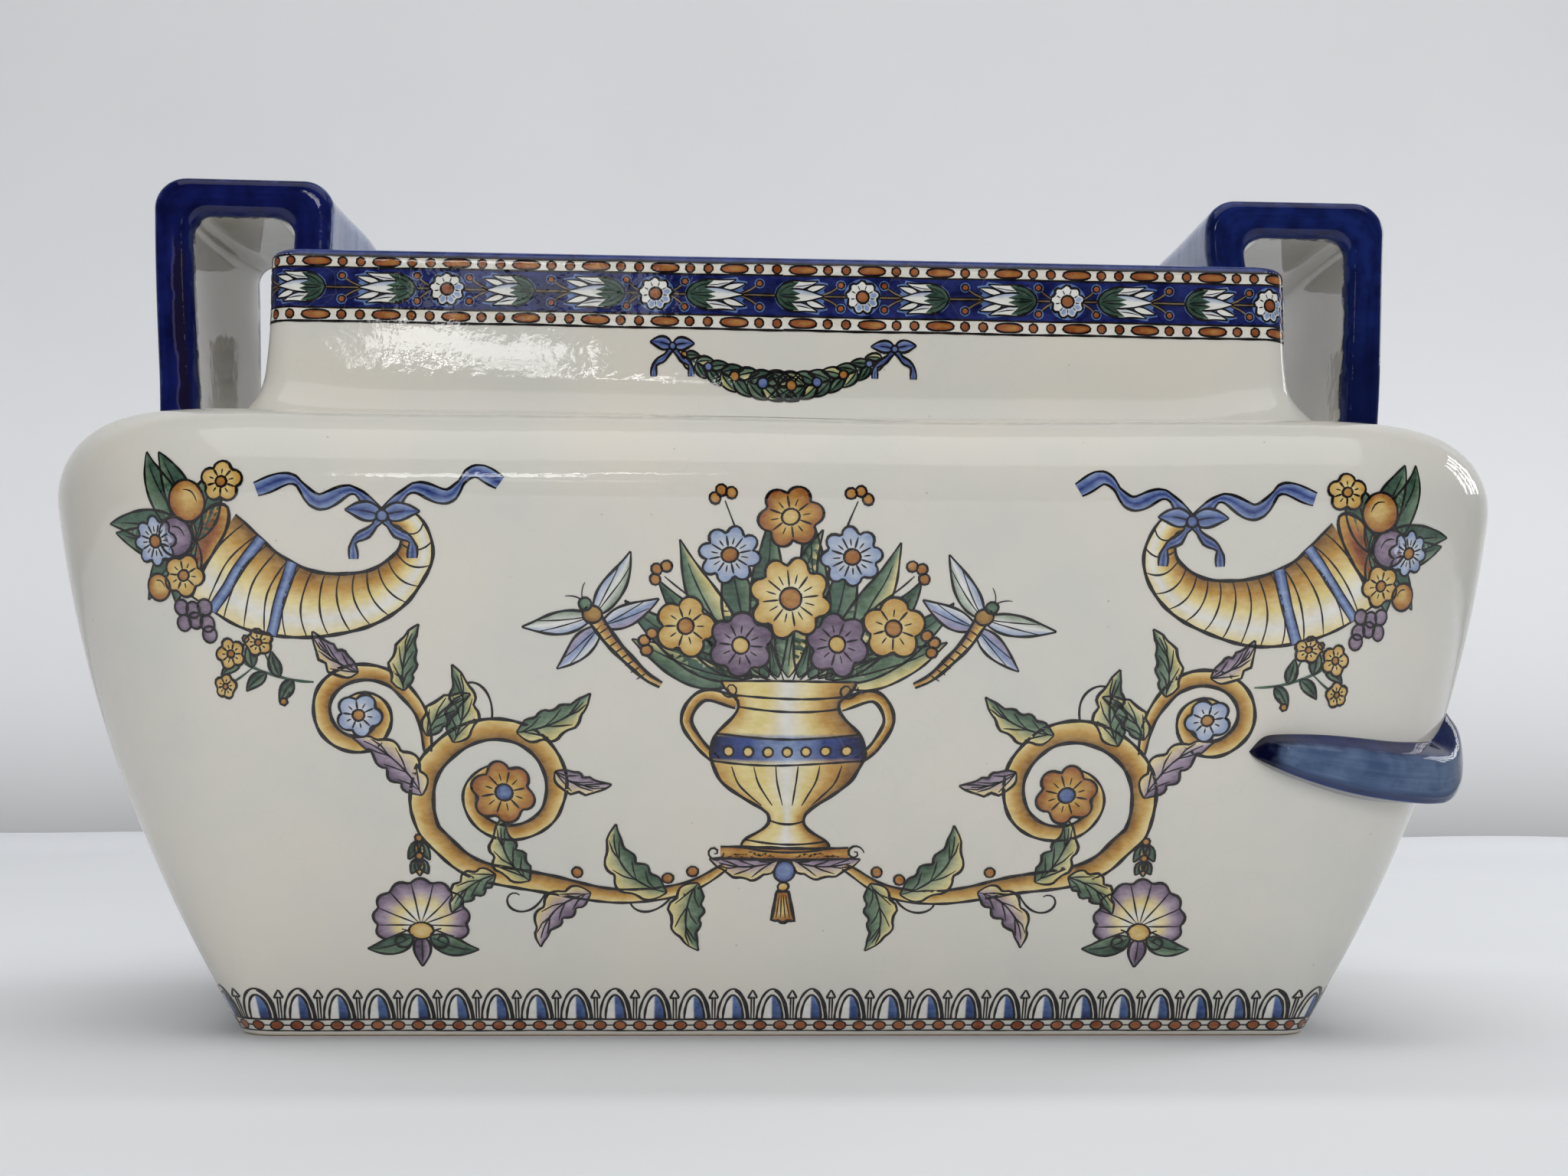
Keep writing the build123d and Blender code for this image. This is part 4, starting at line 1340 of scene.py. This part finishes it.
def handleColour(tree, coat, place, wobble):
    # mixes by smooth steps of the depth in the strap, the place across it and the point in space: dark along
    # the edges, paler on the broad outer faces, cream inside the loop
    g = cobaltGlaze
    mottle, pool, streak = coat["mottle"], coat["pool"], coat["streak"]
    point = tree.nodes.new("ShaderNodeSeparateXYZ")
    tree.links.new(tree.nodes.new("ShaderNodeTexCoord").outputs["Object"], point.inputs[0])
    x, z = point.outputs["X"], point.outputs["Z"]
    depth, across = plus(tree, place.outputs["X"], wobble), plus(tree, place.outputs["Y"], wobble)

    def within(value, low, high, falling, gone):
        # one from high to falling, nothing below low or above gone: a product of two smooth steps
        return times(tree, rangeOf(tree, value, low, high), rangeOf(tree, value, falling, gone, 1.0, 0.0))
    cloudy = plus(tree, weighted(tree, streak, 0.3, pool, 0.3), times(tree, mottle, 0.45))
    # the right handle is darker low on its outer leg and on the neck side of its inner leg and bend
    lowLeg = times(tree, rangeOf(tree, z, 0.172, 0.196, 1.0, 0.0), rangeOf(tree, x, 0.13, 0.14))
    darkerLegs = times(tree, mathOf(tree, "MAXIMUM", lowLeg, within(x, 0.0, 0.05, 0.113, 0.124)), 0.7)
    cloudy = times(tree, cloudy, mathOf(tree, "SUBTRACT", 1.0, darkerLegs))
    paler = mixColour(tree, rangeOf(tree, x, -0.01, 0.01), g["rim"], g["rimRight"])
    dark = mixColour(tree, cloudy, g["deep"], paler)
    light = mixColour(tree, weighted(tree, streak, 0.7, pool, 0.3), g["face"], g["pale"])
    face = times(tree, rangeOf(tree, depth, 0.86, 0.97), rangeOf(tree, across, 0.90, 0.96, 1.0, 0.0))
    colour = mixColour(tree, face, dark, light)
    thin = times(tree, rangeOf(tree, depth, 0.01, 0.08, 1.0, 0.0), 0.16)
    colour = mixColour(tree, thin, colour, g["face"])
    # a dark streak down the front of the left handle's outer leg, with a painted reflection
    # as a paler line along one side
    leftLeg = times(tree, rangeOf(tree, x, -0.146, -0.142, 1.0, 0.0), rangeOf(tree, across, 0.9, 0.96))
    leftLeg = times(tree, leftLeg, rangeOf(tree, place.outputs["Z"], 54.0, 60.0, 1.0, 0.0))
    run, streakReflection = within(depth, 0.15, 0.22, 0.42, 0.48), within(depth, 0.42, 0.47, 0.47, 0.53)
    colour = mixColour(tree, times(tree, run, leftLeg, 0.85), colour, g["run"])
    colour = mixColour(tree, times(tree, streakReflection, leftLeg, 0.4), colour, g["streakReflection"])
    # glaze breaks paler along the outer corners
    broken = times(tree, rangeOf(tree, depth, 0.88, 1.0), rangeOf(tree, across, 0.93, 0.99), 0.3)
    colour = mixColour(tree, broken, colour, g["face"])
    lapped = mathOf(tree, "MAXIMUM", rangeOf(tree, depth, 0.10, 0.15), rangeOf(tree, across, 0.86, 0.90))
    return mixColour(tree, lapped, mixColour(tree, mottle, creamGlaze["warm"], creamGlaze["cool"]), colour)


def strapEndColour(tree, coat, place, wobble):
    # mixes by smooth steps of the zone across the strip (bevel, face, lower edge) and the length from its tip
    g = cobaltEnd
    patch = weighted(tree, coat["pool"], 0.65, coat["streak"], 0.35)
    zone = plus(tree, place.outputs["X"], wobble)
    body = mixColour(tree, patch, g["face"], g["pale"])
    low = mixColour(tree, times(tree, patch, 0.5), g["low"], g["face"])
    edge = mixColour(tree, patch, g["edge"], g["low"])
    colour = mixColour(tree, rangeOf(tree, zone, 0.7, 1.1), edge, body)
    colour = mixColour(tree, rangeOf(tree, zone, 1.95, 2.12), colour, low)
    ridge = times(tree, rangeOf(tree, zone, 1.8, 2.0), rangeOf(tree, zone, 2.0, 2.2, 1.0, 0.0), 0.6)
    colour = mixColour(tree, ridge, colour, g["edge"])
    away = plus(tree, place.outputs["Y"], times(tree, wobble, 40.0))
    colour = mixColour(tree, rangeOf(tree, away, 3.5, 10.0), g["deep"], colour)
    return mixColour(tree, times(tree, rangeOf(tree, away, 66.0, 82.0), 0.8), colour, g["fold"])


def strapMaterial(name, look, colourOf):
    # brushed cobalt with streaks drawn out along the strap; its mixes follow the strap's own place values
    mat, tree, shader, glaze = newMaterial(name)
    shader.inputs["Specular IOR Level"].default_value = look["shine"]
    along = addNode(tree, "ShaderNodeAttribute", attribute_name="strapPlace").outputs["Vector"]
    place = tree.nodes.new("ShaderNodeSeparateXYZ")
    tree.links.new(along, place.inputs[0])
    pool, streak = washNode(tree, along, look["brush"])
    wobble = times(tree, mathOf(tree, "SUBTRACT", pool, 0.5), look["wobble"])
    coat = {"mottle": glaze.outputs["Mottle"], "pool": pool, "streak": streak}
    colour = colourOf(tree, coat, place, wobble)
    tree.links.new(colour, shader.inputs["Base Color"])
    return mat


body = makePot()
body.data.materials.append(bodyMaterial())
print("pot body", len(body.data.polygons), "faces")

strapGlaze = strapMaterial("cobaltStrap", cobaltGlaze, handleColour)
for name, side, node in (("strap_handle_right", 1, "right_handle"), ("strap_handle_left", -1, "left_handle")):
    makeHandle(name, side, node).data.materials.append(strapGlaze)
endGlaze = strapMaterial("cobaltStrapEnd", cobaltEnd, strapEndColour)
for name, turned, node in (
    ("strap_end_right", False, "right_strap_end"), ("strap_end_left", True, "left_strap_end"),
):
    makeStrapEnd(name, turned, node).data.materials.append(endGlaze)
print("handles and strap ends")

# motifs of the drawings: places in mm with angle and size, garlands as half span, height, sag and size
layout = {
    "husks": ((86, 53.5), (86, 44.5), 2), "frontSprig": ((108.5, 92.5), 0.0, 0.7),
    "neckGarland": (28, heightLength(171), 8.5, 1.0), "sideGarland": (30, 138, 17, 1.35),
    "shoulderSprigs": ((-78, 181), (76, 181)), "shoulderSprig": (0.2, 0.55, paleBlues),
    "sideSprigs": (((-2, 26), 1.35, -1), ((2, 26), 1.75, 1)), "sideSprigSize": 0.85,
    "paintingWaver": 0.22, "borderWaver": 0.06,
}
paintedGlaze = paintMaterial()
halfDrawing = newSheet()
for motif in (rinceau, cornucopia, dragonfly, scallop):
    motif(halfDrawing)
huskChain(halfDrawing, *layout["husks"])
flowerSprig(halfDrawing, *layout["frontSprig"])
centreDrawing = newSheet()
for motif in (urn, bouquet, bracket):
    motif(centreDrawing)
frontDrawing = joinSheets(halfDrawing, repeatStamp(halfDrawing, [0], [-1]), centreDrawing)
neckDrawing = newSheet()
leafyFestoon(neckDrawing, *layout["neckGarland"])
shoulderDrawing = newSheet()
for place in layout["shoulderSprigs"]:
    flowerSprig(shoulderDrawing, place, *layout["shoulderSprig"])
sideDrawing = newSheet()
leafyFestoon(sideDrawing, *layout["sideGarland"])
for place, angle, side in layout["sideSprigs"]:
    flowerSprig(sideDrawing, place, angle, layout["sideSprigSize"], side=side)
halfRound, halfNeck = planLength(0) / 2, planLength(pot["neckInset"]) / 2
sideMiddle = cornerX + pot["cornerRadius"] * math.pi / 2 + cornerY
paintings = [
    ("painting_front", frontDrawing, 0.0, 0.0), ("painting_back", frontDrawing, 0.0, halfRound),
    ("painting_right", sideDrawing, 0.0, sideMiddle),
    ("painting_left", sideDrawing, 0.0, sideMiddle + halfRound),
    ("festoon_front", neckDrawing, pot["neckInset"], 0.0),
    ("festoon_back", neckDrawing, pot["neckInset"], halfNeck),
    ("sprigs_front", shoulderDrawing, 0.0, 0.0), ("sprigs_back", shoulderDrawing, 0.0, halfRound),
    ("egg_border", eggBorder(), border["footInset"], 0.0), ("rim_border", rimBorder(), pot["neckInset"], 0.0),
]
for name, sheet, refInset, shift in paintings:
    waver = layout["borderWaver" if "border" in name else "paintingWaver"]
    piece = layOnPot(name, sheet, refInset, shift, waver)
    piece.data.materials.append(paintedGlaze)
    print(name, len(piece.data.polygons), "faces")

# floor, wall, light and camera; lengths in m
stageLook = {
    "floor": srgb(234, 236, 239), "wall": srgb(217, 218, 220), "floorEnd": 1.02, "wallAt": 1.1,
    "roughness": 0.9, "shine": 0.1, "clouds": 0.03,
}


def plainMaterial(name, colour):
    # matt surface whose colour goes a little below and above its own by a slow noise
    mat = bpy.data.materials.new(name)
    mat.use_nodes = True
    tree = mat.node_tree
    shader = tree.nodes["Principled BSDF"]
    shader.inputs["Roughness"].default_value = stageLook["roughness"]
    shader.inputs["Specular IOR Level"].default_value = stageLook["shine"]
    cloud = addNode(tree, "ShaderNodeTexNoise", Scale=5.0, Detail=3.0)
    tree.links.new(tree.nodes.new("ShaderNodeTexCoord").outputs["Object"], cloud.inputs["Vector"])
    dark, light = colour * (1 - stageLook["clouds"]), colour * (1 + stageLook["clouds"])
    tree.links.new(mixColour(tree, cloud.outputs["Fac"], dark, light), shader.inputs["Base Color"])
    return mat


def makeStage():
    # a cloth-covered table with faint folds, products of sines that start away from the pot, and a plain wall
    x = np.linspace(-1600, 1600, 161)
    y = np.linspace(-1500, stageLook["floorEnd"] * 1000, 131)
    gx, gy = np.meshgrid(x, y)
    away = smooth(220, 420, np.hypot(gx, gy * 1.3))
    folds = 1.6 * np.sin(gx / 93 + gy / 210) * np.sin(gy / 130 - gx / 310) + 0.8 * np.sin(gx / 41 - gy / 77)
    cloth = np.stack([gx, gy, away * folds - 0.05 - 2.4 * away], -1)
    floor = buildMesh("table_cloth", cloth.reshape(-1, 3), gridQuads(len(y), len(x)))
    floor.data.materials.append(plainMaterial("cloth", stageLook["floor"]))
    wx, wz = np.meshgrid(np.linspace(-3000, 3000, 3), np.linspace(-700, 2600, 3))
    upright = np.stack([wx, np.full_like(wx, stageLook["wallAt"] * 1000), wz], -1)
    wall = buildMesh("wall", upright.reshape(-1, 3), gridQuads(*wx.shape))
    wall.data.materials.append(plainMaterial("wallPaint", stageLook["wall"]))


def areaLight(name, at, aim, size, power, roll=0.0, mirrored=True, spread=180):
    # rectangular lamp that looks from one point at another, turned about that line by the roll in degrees
    lamp = bpy.data.lights.new(name, "AREA")
    lamp.shape, lamp.size, lamp.size_y, lamp.energy = "RECTANGLE", size[0], size[1], power
    lamp.spread = math.radians(spread)
    holder = bpy.data.objects.new(name, lamp)
    holder.location = at
    holder.rotation_mode = "QUATERNION"
    ahead = (Vector(aim) - Vector(at)).to_track_quat("-Z", "Y")
    holder.rotation_quaternion = ahead @ Quaternion((0, 0, 1), math.radians(roll))
    holder.visible_camera = False
    holder.visible_glossy = mirrored
    bpy.context.scene.collection.objects.link(holder)


makeStage()
areaLight("ceiling", (0.1, -0.7, 1.9), (0, 0, 0.1), (2.4, 1.8), 12.7)
areaLight("farWindow", (-0.33, -2.3, 0.93), (-0.05, 0, 0.16), (0.27, 0.13), 0.75, roll=28)
areaLight("farSill", (-0.235, -2.3, 1.1), (-0.05, 0, 0.16), (0.5, 0.02), 0.5, roll=22)
areaLight("farPane", (-0.235, -2.3, 0.674), (-0.06, 0, 0.185), (0.3, 0.1), 0.12)
areaLight("tableGlow", (0, -0.42, 1.3), (0, -0.24, 0), (1.3, 0.5), 0.55, mirrored=False, spread=70)
areaLight("frontSoft", (-0.1, -2.0, 0.45), (0, 0, 0.06), (1.2, 0.5), 12.9, mirrored=False)
areaLight("wallWash", (-0.3, 0.35, 1.6), (-0.3, 1.1, 0.2), (2.6, 0.3), 8, mirrored=False)
areaLight("wallUp", (0, 0.72, 0.02), (0, 1.1, 0.3), (2.6, 0.04), 1.25, mirrored=False, spread=110)
areaLight("sideSoft", (1.4, 0.6, 0.9), (0.3, 0.5, 0.05), (0.8, 0.6), 1.75, mirrored=False)
areaLight("paneGlow", (1.2, 0.5, 0.56), (0, 0, 0.05), (0.35, 0.42), 0.87, mirrored=False)
panes = {
    "count": 4, "first": 22, "step": 5.0, "reach": 1.2, "corner": (0.15, -0.08), "height": 0.56,
    "aim": 0.15, "size": (0.058, 0.42), "power": 0.32,
}
for k in range(panes["count"]):  # window to the right and behind: tall panes at even angles about one corner
    x, y = panes["corner"] + panes["reach"] * unit(math.radians(panes["first"] + panes["step"] * k))
    at, aim = (x, y, panes["height"]), (*panes["corner"], panes["aim"])
    areaLight(f"pane{k}", at, aim, panes["size"], panes["power"])


def makeRoom(level=0.19, shade=0.75, leftShade=0.45, least=0.04):
    # pale room, dimmer to the left, whose near end looks dim in the glaze: level less the left shade by a
    # smooth step of the heading, less the near shade times how far a mirrored ray looks forward
    world = bpy.data.worlds.new("room")
    bpy.context.scene.world = world
    world.use_nodes = True
    tree = world.node_tree
    heading = tree.nodes.new("ShaderNodeSeparateXYZ")
    tree.links.new(tree.nodes.new("ShaderNodeTexCoord").outputs["Generated"], heading.inputs[0])
    forward = rangeOf(tree, heading.outputs["Y"], -0.6, 0.6, 1.0, 0.0)
    mirrored = tree.nodes.new("ShaderNodeLightPath").outputs["Is Glossy Ray"]
    dim = times(tree, forward, mirrored, shade * level)
    back = tree.nodes["Background"]
    back.inputs["Color"].default_value = (0.97, 0.985, 1.0, 1)
    leftward = rangeOf(tree, heading.outputs["X"], -0.9, 0.2, leftShade * level, 0.0)
    left = mathOf(tree, "SUBTRACT", level, plus(tree, dim, leftward))
    tree.links.new(mathOf(tree, "MAXIMUM", left, least), back.inputs["Strength"])


makeRoom()

view = {
    "focal": 2671.3, "across": 2048, "sensor": 36, "at": (-0.02203, -0.5682, 0.07354),
    "yaw": -0.0441, "pitch": 0.0724, "roll": -0.0059,
}
camera = bpy.data.objects.new("camera", bpy.data.cameras.new("camera"))
camera.data.sensor_width = view["sensor"]
camera.data.lens = view["focal"] / view["across"] * view["sensor"]
camera.data.clip_start, camera.data.clip_end = 0.01, 50
pose = Matrix.Translation(view["at"])
for angle, axis in ((view["yaw"], "Z"), (view["pitch"], "X"), (view["roll"], "Y"), (math.pi / 2, "X")):
    pose = pose @ Matrix.Rotation(angle, 4, axis)
camera.matrix_world = pose
bpy.context.scene.collection.objects.link(camera)
bpy.context.scene.camera = camera
bpy.context.scene.view_settings.view_transform = "Standard"
print("stage, light and camera")
